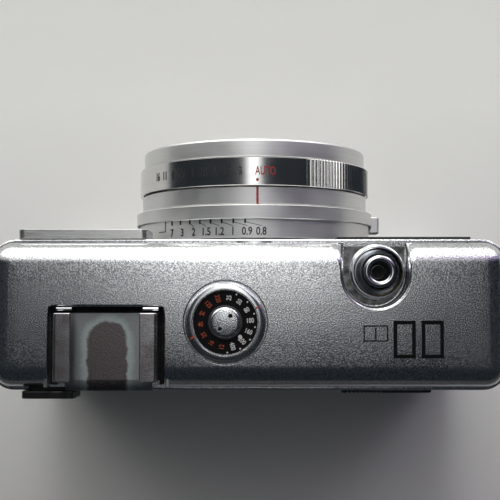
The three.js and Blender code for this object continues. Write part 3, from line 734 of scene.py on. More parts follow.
def make_top_cover():
    z0 = COVER_LO.z
    # The skirt's rolled edge, then a narrow groove at the cap's foot.
    skirt = [(0, z0), (0, STEP_Z - 0.35), (0.06, STEP_Z - 0.12), (0.18, STEP_Z - 0.02), (0.3, STEP_Z)]
    skirt += [(0.42, STEP_Z - 0.1), (0.46, STEP_Z - 0.55), (STEP_IN - 0.02, STEP_Z - 0.55)]
    outer = [plan(inset, z) for inset, z in skirt] + cap_rings(0, 0)
    inner = [plan(SHEET, z0), plan(SHEET, STEP_Z - SHEET)]
    inner += [plan(STEP_IN + SHEET, STEP_Z - SHEET + 0.02)] + cap_rings(SHEET, SHEET)
    shell = loft(outer)
    shell = cut(shell, loft([plan(SHEET, z0 - 1)] + inner))
    # Pressed-in wells, which need material of their own under the top.
    well = prism(u_outline(BUTTON_RECESS + SHEET), BUTTON_FLOOR - SHEET, TOP_Z - 1.2)
    well = common(well, loft([plan(SHEET / 2, STEP_Z - 2)] + cap_rings(SHEET / 2, SHEET / 2)))
    half = POCKET_HALF + SHEET
    x0, x1 = POCKET_X - half, POCKET_X + half
    shelf = block(x0, x1, POCKET_FRONT - SHEET, HALF_Y - 0.9, MOAT_FLOOR - 0.8, TOP_Z - 1.2)
    dish = rod(DIAL.x, DIAL.y, DIAL_RECESS + SHEET, DIAL_FLOOR - SHEET, TOP_Z - 1.1)
    shell = fuse(shell, well, shelf, dish)
    shell = cut(
        shell,
        flared(lambda o: u_outline(BUTTON_RECESS + o), BUTTON_FLOOR, 0.75, extra=corner_flare),
        flared(circle_outline(DIAL.x, DIAL.y, DIAL_RECESS), DIAL_FLOOR, 0.15, foot=0.1),
        flared(pocket_outline, SHOE_LO.z + 0.6, 0.3, foot=0.05),
    )
    half = POCKET_HALF - 0.1
    moat = cut(
        block(POCKET_X - half, POCKET_X + half, POCKET_FRONT + 0.1, 26, MOAT_FLOOR, 75),
        block(SHOE_LO.x + 0.05, SHOE_HI.x - 0.05, SHOE_LO.y + 0.05, 30, MOAT_FLOOR - 1, 80),
    )
    x0, x1 = 23.4, 49.2
    shell = cut(
        shell,
        moat,
        rod(BUTTON.x, BUTTON.y, 5.35, 60, 68),
        rod(DIAL.x, DIAL.y, 1.6, 60, 72, 24),
        block(x0, x1, -20, -14, 55.2, 62.8),
        block(38.1, 47.6, 12, 20, 59.9, 64.9),
        moved(rod(0, 0, LENS_HOLE_R, -3, 1, 128), LENS_FRAME),
        block(-60, 60, 10.9, 30, 40, DOOR_HI.z + 0.3),
        *lever_slot(),
    )
    for side in (-1, 1):
        sideways = turn(side * math.pi / 2, "Y")
        lug = moved(rod(0, 0, 2.5, 50, 60, 32), shift(0, 0, 65.8) @ sideways)
        shell = cut(shell, lug)
    engraving = [moved(mark, shift(0, 0, TOP_Z + 2 - ICON_Z)) for mark in half_frame_icon()]
    for mark in engraving:
        shell = cut(shell, mark)
    add("top_cover_shell", shell, SATIN, ["top_cover"], sharp=38)


make_top_cover()


def make_recess_shade():
    """A dark dish at the bottom of the button's recess: painted shade."""
    floor = prism(u_outline(BUTTON_RECESS - 0.4, front=-HALF_Y), BUTTON_FLOOR - 0.05, BUTTON_FLOOR + 0.05)
    floor = common(floor, loft([plan(1.2, STEP_Z - 2)] + cap_rings(0.7, 0.3)))
    floor = cut(floor, rod(BUTTON.x, BUTTON.y, 5.6, 60, 70))
    add("recess_shade_dish", floor, RECESS_SHADE)


make_recess_shade()


def make_icon_fill():
    fills = [moved(mark, shift(0, 0, TOP_Z + 2 - ICON_Z - 0.02)) for mark in half_frame_icon()]
    for index, fill in enumerate(fills):
        floor_only = combine(fill, [block(-60, 0, -20, 20, TOP_Z - 0.6, TOP_Z - ICON_Z + 0.04)], "INTERSECT")
        add(f"engraving_fill_{index + 1}", floor_only, DEEP_BLACK)


make_icon_fill()


# ---------- bottom cover ----------
REWIND_X, REWIND_Y = middle("rewind_spindle").x, middle("rewind_spindle").y
TRIPOD = middle("tripod_bush")
COUNTER_WINDOW = middle("counter_window")
REWIND_BUTTON = middle("rewind_button")
BASE_SCREWS = [middle(f"base_screw_{k}") for k in (1, 2)]


def make_bottom_cover():
    fillet = 1.9
    levels = []
    for k in range(8):
        a = k / 7 * math.pi / 2
        levels.append(plan(fillet * (1 - math.sin(a)), fillet * (1 - math.cos(a))))
    levels += [plan(0, BASE_HI.z - 0.15), plan(0.15, BASE_HI.z)]
    shell = loft(levels)
    hollow = loft([plan(SHEET + 0.6, SHEET), plan(SHEET, SHEET + 0.7), plan(SHEET, BASE_HI.z + 1)])
    shell = cut(shell, hollow)
    shell = fuse(shell, rod(REWIND_X, REWIND_Y, 12, 0.5, 6.2, 96))
    wells = [rod(REWIND_X, REWIND_Y, 11, -1, 5.2, 96), rod(REWIND_X, REWIND_Y, 3.5, 4, 8, 32)]
    wells.append(rod(TRIPOD.x, TRIPOD.y, 5.1, -1, 4))
    wells.append(rod(COUNTER_WINDOW.x, COUNTER_WINDOW.y, 3.7, -1, 4))
    wells.append(rod(REWIND_BUTTON.x, REWIND_BUTTON.y, 2.4, -1, 4))
    for screw in BASE_SCREWS:
        wells += [rod(screw.x, screw.y, 1.1, -1, 4, 24), rod(screw.x, screw.y, 2.1, -1, 0.6, 32)]
    wells.append(moved(rod(0, 0, LENS_HOLE_R, -3, 1, 128), LENS_FRAME))
    shell = cut(shell, *wells)
    add("bottom_cover_shell", shell, SATIN, ["bottom_cover"], 0.12)


make_bottom_cover()


# ---------- shoe ----------
def make_shoe():
    half = (SHOE_HI.x - SHOE_LO.x) / 2
    lo, hi = SHOE_LO.z, SHOE_HI.z
    wall, rail, gap = 1.4, 1.15, 7.2
    y0, y1 = SHOE_LO.y, 13.9
    place = shift(SHOE_X, 0, 0)
    for side, name in ((-1, "shoe_rail_right"), (1, "shoe_rail_left")):
        outer, inner, lip = side * half, side * (half - wall), side * gap
        section = [(inner, lo + 1.02, 0), (outer, lo + 1.02, 0), (outer, hi, 0.7), (lip, hi, 0.2)]
        section += [(lip, hi - rail, 0.3), (inner, hi - rail, 0.35)]
        outline = rounded(section, 0, 6)
        part = loft([[(x, y, z) for x, z in outline] for y in (y0, y1)])
        add(name, part, RAIL_PAINTED_REFLECTION, ["accessory_shoe"], 0.16, local=place)
    floor = prism(rounded([(-half, y0), (half, y0), (half, y1), (-half, y1)], 0.5), lo, lo + 1)
    # The floor bends down over the cover's back edge.
    tongue = [(y1 - 1.2, lo + 0.1), (y1 - 1.2, lo + 1)]
    for k in range(9):
        t = k / 8
        y = (1 - t) ** 2 * 13.4 + 2 * t * (1 - t) * 15.7 + t**2 * 16.28
        z = (1 - t) ** 2 * (lo + 1) + 2 * t * (1 - t) * (lo + 0.95) + t**2 * 66.3
        tongue.append((y, z))
    for k in range(7):
        t = k / 6
        y = (1 - t) ** 2 * 15.6 + 2 * t * (1 - t) * 15.2 + t**2 * 14.2
        z = (1 - t) ** 2 * 66.3 + 2 * t * (1 - t) * (lo - 0.1) + t**2 * (lo + 0.1)
        tongue.append((y, z))
    bent = loft([[(x, y, z) for y, z in tongue] for x in (-half + 1.5, half - 1.5)])
    floor = fuse(floor, bent)
    add("shoe_floor", floor, SHOE_FLOOR_CHROME, ["accessory_shoe"], 0.12, local=place)
    # The spring plate's two rounded ends, which stand in front of the rails.
    ends = []
    for side in (-1, 1):
        section = rounded([(-1.55, 69.1), (-0.75, 69.1), (-0.75, 69.85), (-1.55, 69.85)], 0.36, 5)
        x0, x1 = sorted((side * (gap + 0.2), side * (half + 0.1)))
        ends.append(loft([[(x, y, z) for y, z in section] for x in (x0, x1)]))
    add("shoe_spring_ends", joined(*ends), CHROME, bevel=0.15, local=place)
    # A black sheet at the bottom of the gap round the shoe: painted shade for the deep gap.
    x0, x1 = POCKET_X - POCKET_HALF + 0.15, POCKET_X + POCKET_HALF - 0.15
    painted_shade = block(x0, x1, POCKET_FRONT + 0.15, HALF_Y - STEP_IN - 0.6, MOAT_FLOOR + 0.02, MOAT_FLOOR + 0.5)
    painted_shade = cut(painted_shade, block(SHOE_LO.x - 0.02, SHOE_HI.x + 0.02, SHOE_LO.y - 0.02, 30, 60, 80))
    add("shoe_gap_shade", painted_shade, PAINTED_SHADE_BLACK, bevel=0.05)


make_shoe()


# ---------- reminder dial ----------
DIAL_PLACE = shift(DIAL.x, DIAL.y, 0)


def knurled(radius_at, notches, depth, steps=4):
    """Angles and a radius function for a rim with rounded notches."""
    angles = even(notches * steps)
    return angles, lambda angle: radius_at - depth * (0.5 - 0.5 * math.cos(notches * angle))


def make_dial():
    angles, edge = knurled(8.68, 190, 0.3)

    def silver(angle):
        r = edge(angle)
        inner = [(6.95, 69.6), (r, 69.6), (r, 70.6), (r - 0.12, 70.7), (r - 0.12 - (r - 8.02) * 0.7, 71.15)]
        return inner + [(8.0, 71.45), (7.9, 71.57), (7.8, 71.6), (7.05, 71.6), (6.95, 71.5)]

    add(
        "dial_ring", revolve(silver, angles), CHROME, ["reminder_ring"],
        local=DIAL_PLACE, body="reminder_ring",
    )
    disc = revolve([(1.6, 69.4), (6.65, 69.4), (6.75, 69.5), (6.75, 71.0), (6.6, 71.1), (1.6, 71.1)], 96)
    add("dial_disc", disc, DEEP_BLACK, ["reminder_disc"], local=DIAL_PLACE)
    # The nut: a domed face in a dark collar, with two holes for a pin spanner.
    face = [(3.2, 71.15), (3.2, 71.75), (3.05, 71.95), (2.8, 72.05), (2.5, 72.08), (0, 72.1)]
    nut = revolve([(0, 67.4), (1.45, 67.4), (1.45, 71.15)] + face, 72)
    holes = [rod(sx * 1.1, sx * 1.35, 0.45, 71.4, 73, 20) for sx in (-1, 1)]
    add("dial_nut", cut(nut, *holes), SATIN, ["reminder_nut"], 0.05, local=DIAL_PLACE)
    # Black discs at the bottoms of the spanner holes: painted shade.
    hole_shade_discs = [spot(side * 1.1, side * 1.35, 0.42, 0.1) for side in (-1, 1)]
    hole_shade_discs = moved(joined(*hole_shade_discs), shift(0, 0, 71.47))
    add("spanner_hole_shade", hole_shade_discs, PAINTED_SHADE_BLACK, local=DIAL_PLACE)
    collar = revolve([(3.25, 71.12), (3.6, 71.12), (3.6, 71.4), (3.45, 71.6), (3.25, 71.6)], 72)
    add("dial_collar", collar, BLACKENED, local=DIAL_PLACE)


make_dial()


def on_dial(bm, angle, radius, twist=0.0):
    """Lays a flat drawing on the dial; angle runs clockwise from the lens side, as seen from above."""
    a = math.radians(angle)
    # Reading along the radius, outwards.
    place = shift(-radius * math.sin(a), -radius * math.cos(a), 71.12)
    spin = turn(math.pi - a + math.radians(twist), "Z")
    return moved(bm, DIAL_PLACE @ place @ spin)


NUMBER_STEP = 25.7


def make_dial_numbers():
    whites = ["25", "50", "80", "100", "160", "200", "400"]
    oranges = ["12", "16", "32", "40", "64", "125", "320"]
    parts = []
    for k, text in enumerate(whites):
        angle = 9 + NUMBER_STEP * k
        parts.append(on_dial(lettering(text, 1.4, 0.8, 0.02), angle, 5.2, 90))
        parts.append(on_dial(spot(0, 0, 0.17), angle + NUMBER_STEP / 2, 6.3))
    parts.append(on_dial(spot(0, 0, 0.42), 134, 4.3))
    add("dial_white_numbers", joined(*parts), WHITE_INK)
    parts = []
    for k, text in enumerate(oranges):
        angle = 188 + NUMBER_STEP * k
        parts.append(on_dial(lettering(text, 1.4, 0.8, 0.02), angle, 5.2, -90))
    add("dial_orange_numbers", joined(*parts), ORANGE_INK)
    marks = []
    for angle in (65, 245):
        mark = strip([(0, -0.42), (0, 0.42)], 0.34)
        marks.append(moved(on_dial(mark, angle, 7.45), shift(0, 0, 0.5)))
    add("dial_ring_marks", joined(*marks), ORANGE_INK, body="reminder_ring")


make_dial_numbers()


# ---------- shutter button ----------
BUTTON_PLACE = shift(BUTTON.x, BUTTON.y, 0)


def make_button():
    side = [(0, 57), (1.5, 57), (1.5, 66.6), (4.75, 66.6), (4.9, 66.75), (4.88, 67.2)]
    side += [(4.5, 67.6), (4.1, 68.2), (3.8, 68.8), (3.6, 69.4), (3.46, 70.2), (3.42, 71.0)]
    side += [(3.34, 71.3), (3.1, 71.46), (2.8, 71.5), (2.4, 71.46), (2.15, 71.3)]
    side += [(1.95, 70.4), (1.55, 68.4), (1.4, 67.8), (0, 67.8)]
    add(
        "release_button", revolve(side, 96), CHROME, ["shutter_button"],
        local=BUTTON_PLACE, body="shutter_button",
    )
    thread = [(5.15, 66.1), (5.9, 66.1), (6.0, 66.2), (6.0, 66.5), (5.9, 66.6), (5.65, 66.6)]
    for k in range(4):
        z = 66.75 + 0.36 * k
        thread += [(5.72, z + 0.06), (5.5, z + 0.24)]
    thread += [(5.62, 68.3), (5.5, 68.4), (5.28, 68.4), (5.15, 68.28)]
    collar = revolve(thread, 96)
    add("threaded_collar", collar, CHROME, ["release_collar"], local=BUTTON_PLACE)


make_button()


def make_socket_shade():
    """A black disc at the bottom of the cable-release socket: painted shade for the deep hole."""
    shade_disc = rod(0, 0, 1.36, 67.82, 68.1, 32)
    add("socket_painted_shade", shade_disc, PAINTED_SHADE_BLACK, bevel=0.03, local=BUTTON_PLACE, body="shutter_button")


make_socket_shade()


# ---------- strap lugs ----------
def make_lugs():
    for side, node in ((1, "strap_lug_left"), (-1, "strap_lug_right")):
        lo, hi = box_mm(node)
        length = hi.x - lo.x
        r = 2.35
        # Outline along the stud, from inside the body to the eye.
        profile = [(0, 0), (1.7, 0), (1.7, length - 3.9), (r, length - 3.6), (r, length - 0.5)]
        profile += [(r - 0.15, length - 0.15), (r - 0.5, length), (0, length)]
        stud = revolve(profile, 64)
        eye = moved(rod(0, 0, 0.95, -5, 5, 32), shift(0, 0, length - 1.5) @ turn(math.pi / 2, "Y"))
        stud = cut(stud, eye)
        start = lo.x if side > 0 else hi.x
        place = shift(start, 0, (lo.z + hi.z) / 2) @ turn(side * math.pi / 2, "Y")
        name = "lug_left" if side > 0 else "lug_right"
        add(name, stud, CHROME, [node], 0.1, local=place)


make_lugs()


# ---------- finder ----------
def frame_outline(x0, x1, z0, z1, r):
    return rounded([(x0, z0), (x1, z0), (x1, z1), (x0, z1)], r, 6)


def facing_front(outline, y0, y1):
    """A prism drawn on the XZ plane, running from y0 to y1."""
    return loft([[(x, y, z) for x, z in outline] for y in (y0, y1)])


def pane(node, r):
    """A plate with rounded corners that fills a CAD node's box."""
    lo, hi = box_mm(node)
    return facing_front(frame_outline(lo.x, hi.x, lo.z, hi.z, r), lo.y, hi.y)


def make_finder():
    lo, hi = box_mm("finder_bezel")
    bezel = pane("finder_bezel", 1.6)
    for x0, x1 in ((24.4, 35.6), (37.6, 48.6)):
        hole = frame_outline(x0, x1, 55.6, 62.4, 0.7)
        wide = [(x + (0.9 if x > (x0 + x1) / 2 else -0.9), z + (0.9 if z > 59 else -0.9)) for x, z in hole]
        middle_loop = [(x, lo.y + 0.7, z) for x, z in hole]
        mouth = [(x, lo.y - 0.1, z) for x, z in wide]
        cutter = loft([mouth, middle_loop, [(x, hi.y + 1, z) for x, z in hole]])
        bezel = cut(bezel, cutter)
    add("bezel_frame", bezel, BEZEL, ["finder_bezel"], 0.25)
    add("frame_glass", pane("frame_window", 0.5), CLEAR, ["frame_window"], 0.08)
    add("finder_glass", pane("finder_window", 0.5), COATED, ["finder_window"], 0.08)
    # A ribbed, milky panel behind the smaller window, which lights the bright-line frame.
    ribs = [(24.8, -15.4)]
    for k in range(24):
        ribs += [(24.8 + 0.43 * k, -15.7), (24.8 + 0.43 * (k + 0.5), -15.45)]
    ribs += [(35.2, -15.4), (35.2, -14.9), (24.8, -14.9)]
    milk, n = material("milky_panel", (0.42, 0.44, 0.44), 0.35)
    n.set("Roughness", n.spread(n.noise(300), 0.3, 0.7, 0.28, 0.45))
    add("frame_light_panel", prism(ribs, 55.9, 62.1), milk, sharp=60)
    lo, hi = box_mm("finder_block")
    tunnel = block(lo.x, hi.x, lo.y, hi.y, lo.z, hi.z)
    tunnel = cut(tunnel, block(38.8, 46.9, -20, 20, 60.4, 63.8))
    add("finder_tunnel", tunnel, CAST_PAINT, ["finder_block"], 0.2)


make_finder()


def make_eyepiece():
    lo, hi = box_mm("eyepiece_frame")
    x, z = (lo.x + hi.x) / 2, (lo.z + hi.z) / 2
    rim = facing_front(frame_outline(lo.x, hi.x, lo.z, hi.z, 1.4), 16.4, hi.y)
    neck = facing_front(frame_outline(x - 4.6, x + 4.6, z - 2.35, z + 2.35, 0.8), lo.y, 16.8)
    hole = frame_outline(x - 3.5, x + 3.5, z - 2.1, z + 2.1, 0.3)
    wide = [(px + (0.8 if px > x else -0.8), pz + (0.8 if pz > z else -0.8)) for px, pz in hole]
    sections = ((wide, hi.y + 0.05), (hole, hi.y - 0.9), (hole, 10))
    bore = loft([[(px, y, pz) for px, pz in outline] for outline, y in sections])
    rim = cut(fuse(rim, neck), bore)
    add("eyepiece_rim", rim, BLACK_PLASTIC, ["eyepiece_frame"], 0.2)
    add("eyepiece_glass", pane("eyepiece_lens", 0.3), CLEAR, ["eyepiece_lens"], 0.08)


make_eyepiece()


def make_nameplate():
    """A blank black plate with a fine polished border, cut round the lens."""
    lo, hi = box_mm("nameplate")
    plate = cut(pane("nameplate", 0.6), moved(rod(0, 0, LENS_HOLE_R, -3, 3, 160), LENS_FRAME))
    add("plate_face", plate, PAINT, ["nameplate"], 0.1)

    def inner_frame(inset, r, y0, y1):
        return facing_front(frame_outline(lo.x + inset, hi.x - inset, lo.z + inset, hi.z - inset, r), y0, y1)

    border = inner_frame(0.6, 0.4, lo.y - 0.03, lo.y + 0.1)
    border = cut(border, inner_frame(0.9, 0.3, -20, 0), moved(rod(0, 0, 29.9, -3, 3, 160), LENS_FRAME))
    add("plate_border", border, CHROME)


make_nameplate()


# ---------- lens ----------
SEGMENTS = 224
FOCUS_SCALE_R, FLANGE_R, INDEX_R, APERTURE_R, FRONT_R = 28.2, 28.85, 27.5, 28.05, 27.1
BARREL_R = 23.6


def lens_ring(name, outline, look, replaces=(), angles=SEGMENTS, body="camera_body"):
    return add(name, revolve(outline, angles), look, replaces, local=LENS_FRAME, body=body)


DISTANCE_START, DISTANCE_STEP, TICK_STEP = -41.2, 6.34, 5.31
APERTURE_START, APERTURE_STEP = -52.8, 5.76
GRIP_START, GRIP_END, RIB_PITCH = 25.7, 96.0, 2.05


def make_focus_ring():
    r, f = FOCUS_SCALE_R, FLANGE_R
    outline = [(23.8, 0.4), (r - 0.1, 0.4), (r, 0.5), (r, 4.55), (r + 0.08, 4.6), (f - 0.12, 4.6), (f, 4.72)]
    outline += [(f, 7.5), (f - 0.15, 7.65), (23.8, 7.65)]
    tab = []
    for z, inset in ((3.2, 0.3), (3.5, 0.0), (7.0, 0.0), (7.3, 0.3)):
        x0, half = -30.7 + inset, 2.2 - inset
        corners = rounded([(x0, -half), (-28.0, -half), (-28.0, half), (x0, half)], 0.6)
        tab.append([(x, y, z) for x, y in corners])
    add(
        "focus_scale_ring", fuse(revolve(outline, SEGMENTS), loft(tab)), RING, ["focus_ring"],
        local=LENS_FRAME, body="focus_ring",
    )
    digits = []
    for k, text in enumerate(("7", "3", "2", "1.5", "1.2", "1", "0.9", "0.8")):
        angle = DISTANCE_START + DISTANCE_STEP * k
        digits.append(wrapped(lettering(text, 2.45, 0.78, 0.045), angle, r + 0.01, 1.8))
    for k in range(8):
        tick = DISTANCE_START + TICK_STEP * k
        digits.append(wrapped(strip([(0, 0), (0, 0.75)], 0.42), tick, r + 0.01, 3.8))
        if k > 1:
            slant = math.radians((DISTANCE_STEP - TICK_STEP) * k) * r
            digits.append(wrapped(strip([(0, 0.1), (slant, -0.75)], 0.12), tick, r + 0.01, 3.8))
    bracket = strip([(-2.4, 0), (0, 0), (0, 2.2)], 0.22)
    digits.append(wrapped(bracket, DISTANCE_START - 4.5, r + 0.01, 2.3))
    add("distance_figures", joined(*digits), BLACK_INK, local=LENS_FRAME, body="focus_ring")


make_focus_ring()


def make_barrel():
    r, b = INDEX_R, BARREL_R
    outline = [(7.8, -8.6), (15.5, -8.6), (15.5, 0.4), (b, 0.4), (b, 7.9), (r - 0.12, 7.9), (r, 8.02)]
    outline += [(r, 11.6), (r - 0.15, 11.75), (b, 11.75), (b, 18.25), (20.8, 18.25), (20.8, 6.2)]
    outline += [(7, 6.2), (7, 5.4), (7.8, 5.4)]
    lens_ring("barrel_shell", outline, RING, ["lens_barrel"])
    line = wrapped(strip([(0, 0.1), (0, 3.5)], 0.5), 1.5, r + 0.01, 7.95)
    add("index_line", line, RED_INK, local=LENS_FRAME)
    base = [(16.3, -0.95), (28.7, -0.95), (28.8, -0.85), (28.8, -0.05), (28.65, 0.1), (16.3, 0.1)]
    lens_ring("base_ring", base, CHROME, ["lens_base_plate"])


make_barrel()


def make_aperture_ring():
    r, z0, z1 = APERTURE_R, 12.0, 18.25
    degrees = []
    for start in (90 + GRIP_START, 270 + GRIP_START):
        ribs = round((GRIP_END - GRIP_START) / RIB_PITCH * 6)
        degrees += [start + RIB_PITCH * k / 6 for k in range(ribs + 1)]
        smooth = 180 - RIB_PITCH * ribs / 6
        degrees += [start + RIB_PITCH * ribs / 6 + smooth * k / 90 for k in range(1, 90)]
    angles = [math.radians(d) for d in degrees]

    def shape(angle):
        """Two ribbed grips on opposite sides; the rest is smooth."""
        past = (math.degrees(angle) - 90 - GRIP_START) % 180
        in_grip = past < GRIP_END - GRIP_START + 0.01
        wave = 0.5 - 0.5 * math.cos(TAU * past / RIB_PITCH)
        top = r - (0.42 * (1 - wave**0.6) if in_grip else 0.1)
        return [(24, z0), (top - 0.1, z0), (top, z0 + 0.1), (top, z1 - 0.1), (top - 0.1, z1), (24, z1)]

    lens_ring(
        "aperture_control", shape, POLISHED_RING, ["aperture_ring"], angles, "aperture_ring"
    )
    figures = []
    for k, text in enumerate(("16", "11", "8", "5.6", "4", "2.8", "2", "1.7")):
        angle = APERTURE_START + APERTURE_STEP * k
        figures.append(wrapped(lettering(text, 2.75, 0.6, 0.035), angle, r - 0.09, 15.1))
    figures.append(wrapped(lettering("B", 2.75, 0.6, 0.035), -6.3, r - 0.09, 15.1))
    black = joined(*figures)
    add("aperture_figures", black, BLACK_INK, local=LENS_FRAME, body="aperture_ring")
    red = [wrapped(lettering("AUTO", 2.75, 0.6, 0.03), 5.2, r - 0.09, 15.1)]
    red.append(wrapped(spot(0, 0, 0.33), 1.5, r - 0.09, 13.2))
    add("automatic_mark", joined(*red), RED_INK, local=LENS_FRAME, body="aperture_ring")


make_aperture_ring()


def make_lens_front():
    r = FRONT_R
    outline = [(21.5, 18.5), (r - 0.15, 18.5), (r, 18.65), (r, 21.9), (r - 0.1, 22.2)]
    outline += [(r - 0.3, 22.45), (r - 0.6, 22.6), (25.3, 22.6), (25.15, 22.5)]
    for k in range(4):
        outline += [(24.5, 22.3 - 0.22 * k), (24.75, 22.2 - 0.22 * k)]
    outline += [(24.3, 21.4), (24.3, 19.3), (21.5, 19.3)]
    lens_ring("filter_ring", outline, RING, ["front_ring"])
    angles, edge = knurled(24.0, 120, 0.25)

    def speed(angle):
        e = edge(angle)
        return [(20.75, 19.6), (e, 19.6), (e, 21.6), (e - 0.35, 22.0), (20.9, 22.0), (20.75, 21.85)]

    lens_ring("speed_ring", speed, PAINT, ["film_speed_ring"], angles, "film_speed_ring")
    numbers = []
    for k, text in enumerate(("10", "12", "20", "25", "40", "50", "80", "100", "160", "200")):
        a = math.radians(-72 + 16 * k)
        flat = lettering(text, 1.5, 0.75, 0.012)
        place = shift(22.2 * math.sin(a), 22.2 * math.cos(a), 22.02) @ turn(-a, "Z")
        numbers.append(moved(flat, place))
    add("speed_figures", joined(*numbers), WHITE_INK, local=LENS_FRAME, body="film_speed_ring")
    cell = [(13.3, 18.5), (21.2, 18.5), (21.2, 19.2), (21.1, 19.3), (13.4, 19.3), (13.3, 19.2)]
    lens_ring("cell_ring", cell, CELL, ["photocell"])


make_lens_front()


def make_photocell_window():
    """A ring of small round lenslets in four rows, over the light cell."""
    outline = [(13.3, 19.6), (20.4, 19.6), (20.4, 20.5), (13.3, 20.5)]
    parts = [revolve(outline, 160)]
    for row in range(4):
        r = 14.3 + 1.72 * row
        count = round(TAU * r / 1.75)
        for k in range(count):
            a = TAU * (k + 0.5 * (row % 2)) / count
            dome = []
            for level in range(4):
                t = level / 3 * math.pi / 2 * 0.92
                x, y, z = r * math.cos(a), r * math.sin(a), 20.4 + 0.85 * math.sin(t)
                wide = 0.84 * math.cos(t)
                dome.append([(x + wide * math.cos(b), y + wide * math.sin(b), z) for b in even(14)])
            parts.append(loft(dome))
    look, n = material("ribbed_glass", (0.42, 0.36, 0.3), 0.06, 0.0, IOR=1.5)
    n.shader.inputs["Transmission Weight"].default_value = 0.75
    n.set("Roughness", n.spread(n.noise(300), 0.3, 0.7, 0.03, 0.09))
    lenslets = joined(*parts)
    add("lenslet_ring", lenslets, look, ["photocell_window"], sharp=50, local=LENS_FRAME)


make_photocell_window()


def make_glasses():
    cone = [(9.6, 18.5), (12.9, 18.5), (12.9, 21.7), (12.8, 21.8), (12.3, 21.8), (12.15, 21.75)]
    cone += [(9.75, 20.15), (9.6, 20)]
    lens_ring("name_cone", cone, PAINT, ["name_ring"], 128)
    housing = [(7, 10.7), (20.5, 10.7), (20.5, 18.1), (9.3, 18.1), (9.3, 12.5), (7, 12.5)]
    lens_ring("shutter_housing", housing, BLACKENED, ["shutter_cover"], 96)

    def dome(r, z, bulge, steps, downwards):
        """Points from the rim to the axis, or back, on a shallow sphere."""
        points = [(r * (1 - k / steps), z + bulge * (1 - (1 - k / steps) ** 2)) for k in range(steps + 1)]
        return points[::-1] if downwards else points

    front = dome(9.0, 15.0, -0.8, 12, True) + dome(9.0, 17.6, 1.85, 12, False)
    lens_ring("front_glass", front, COATED, ["front_element"], 96)
    rear = dome(7.5, -7.4, -0.9, 12, True) + dome(7.5, -4.4, 1.05, 12, False)
    lens_ring("rear_glass", rear, COATED, ["rear_element"], 96)


make_glasses()


# ---------- leatherette, door and lever ----------
def make_leathers():
    z0, z1 = box_mm("leather_right")[0].z, box_mm("leather_right")[1].z
    for side, node in ((-1, "leather_right"), (1, "leather_left")):
        back_end = box_mm(node)[1].y
        skin = loft([plan(0.12, z0), plan(0.0, z0 + 0.15), plan(0.0, z1 - 0.15), plan(0.12, z1)])
        hollow = prism([(x, y) for x, y, _ in plan(1.0, 0)], z0 - 1, z1 + 1)
        skin = cut(skin, hollow, block(-60, 60, back_end, 30, 0, 70))
        x0, x1 = (LENS.x - 0.02, 60) if side < 0 else (-60, LENS.x + 0.02)
        other = block(x0, x1, -30, 30, 0, 70)
        skin = cut(skin, other, moved(rod(0, 0, LENS_HOLE_R, -3, 40, 128), LENS_FRAME))
        if side > 0:
            skin = cut(skin, block(50, 60, 5.2, 7.6, 27.6, 38.4))
        name = "skin_left" if side > 0 else "skin_right"
        add(name, skin, LEATHER, [node], 0.1)
    skin = pane("door_leather", 2.4)
    add("door_skin", skin, LEATHER, ["door_leather"], 0.15, body="rear_door")


make_leathers()


def make_lever_grip():
    lo, hi = box_mm("lever_grip")
    y1 = hi.y
    corners = [(lo.x, y1 - 1.1, 0.5), (hi.x, y1 - 1.25, 0.6), (hi.x, y1, 0.6), (lo.x, y1, 0.5)]
    tip = prism(rounded(corners, 0.5, 6), lo.z, hi.z)
    x0, x1 = hi.x - 9.9, hi.x
    stem = prism(rounded([(x0, lo.y), (x1, lo.y), (x1, y1 - 0.5), (x0, y1 - 0.5)], 0.5), lo.z, hi.z)
    grip = fuse(tip, stem)
    starts = [x1 - 1.6 - 0.9 * k for k in range(9)]
    grooves = [block(x, x + 0.4, y1 - 0.22, y1 + 1, lo.z - 1, hi.z + 1) for x in starts]
    grip = cut(grip, *grooves)
    add("thumb_grip", grip, BLACK_PLASTIC, ["lever_grip"], 0.12, body="advance_lever")


make_lever_grip()


# ---------- materials of the CAD nodes that stay ----------
LOOKS = (
    (CAST_PAINT, "main_casting"),
    (PAINT, "rear_door counter_disc"),
    (CHROME, "advance_lever door_latch rewind_button rewind_spindle rewind_crank"),
    (BLACK_PLASTIC, "crank_knob take_up_spool"),
    (STEEL, "release_spring sprocket hinge_pin pressure_spring tripod_bush base_screw_1 base_screw_2"),
    (BRASS, "release_guide rewind_sleeve"),
    (BLACKENED, "pressure_plate meter_movement"),
    (BLACKENED, " ".join(f"shutter_blade_{k}" for k in range(1, 6))),
    (CLEAR, "counter_window"),
)


def finish_cad_nodes():
    for look, nodes in LOOKS:
        for node in nodes.split():
            thing = frame["nodes"][node]
            thing.data.materials.clear()
            thing.data.materials.append(look)
            round_edges(thing, 0.12, 2, 50)


finish_cad_nodes()


# ---------- camera, floor and light ----------
def stage_mesh(name, bm, look):
    bm.transform(Matrix.Scale(MM, 4))
    thing = mesh_object(name, bm)
    thing.data.materials.append(look)


FOCAL_LENGTH = 68.4
SENSOR_WIDTH = 36
CAMERA_PLACE = (-1.42, -2.0, 270.3)
CAMERA_PITCH = 3.31
CAMERA_YAW = 0.3


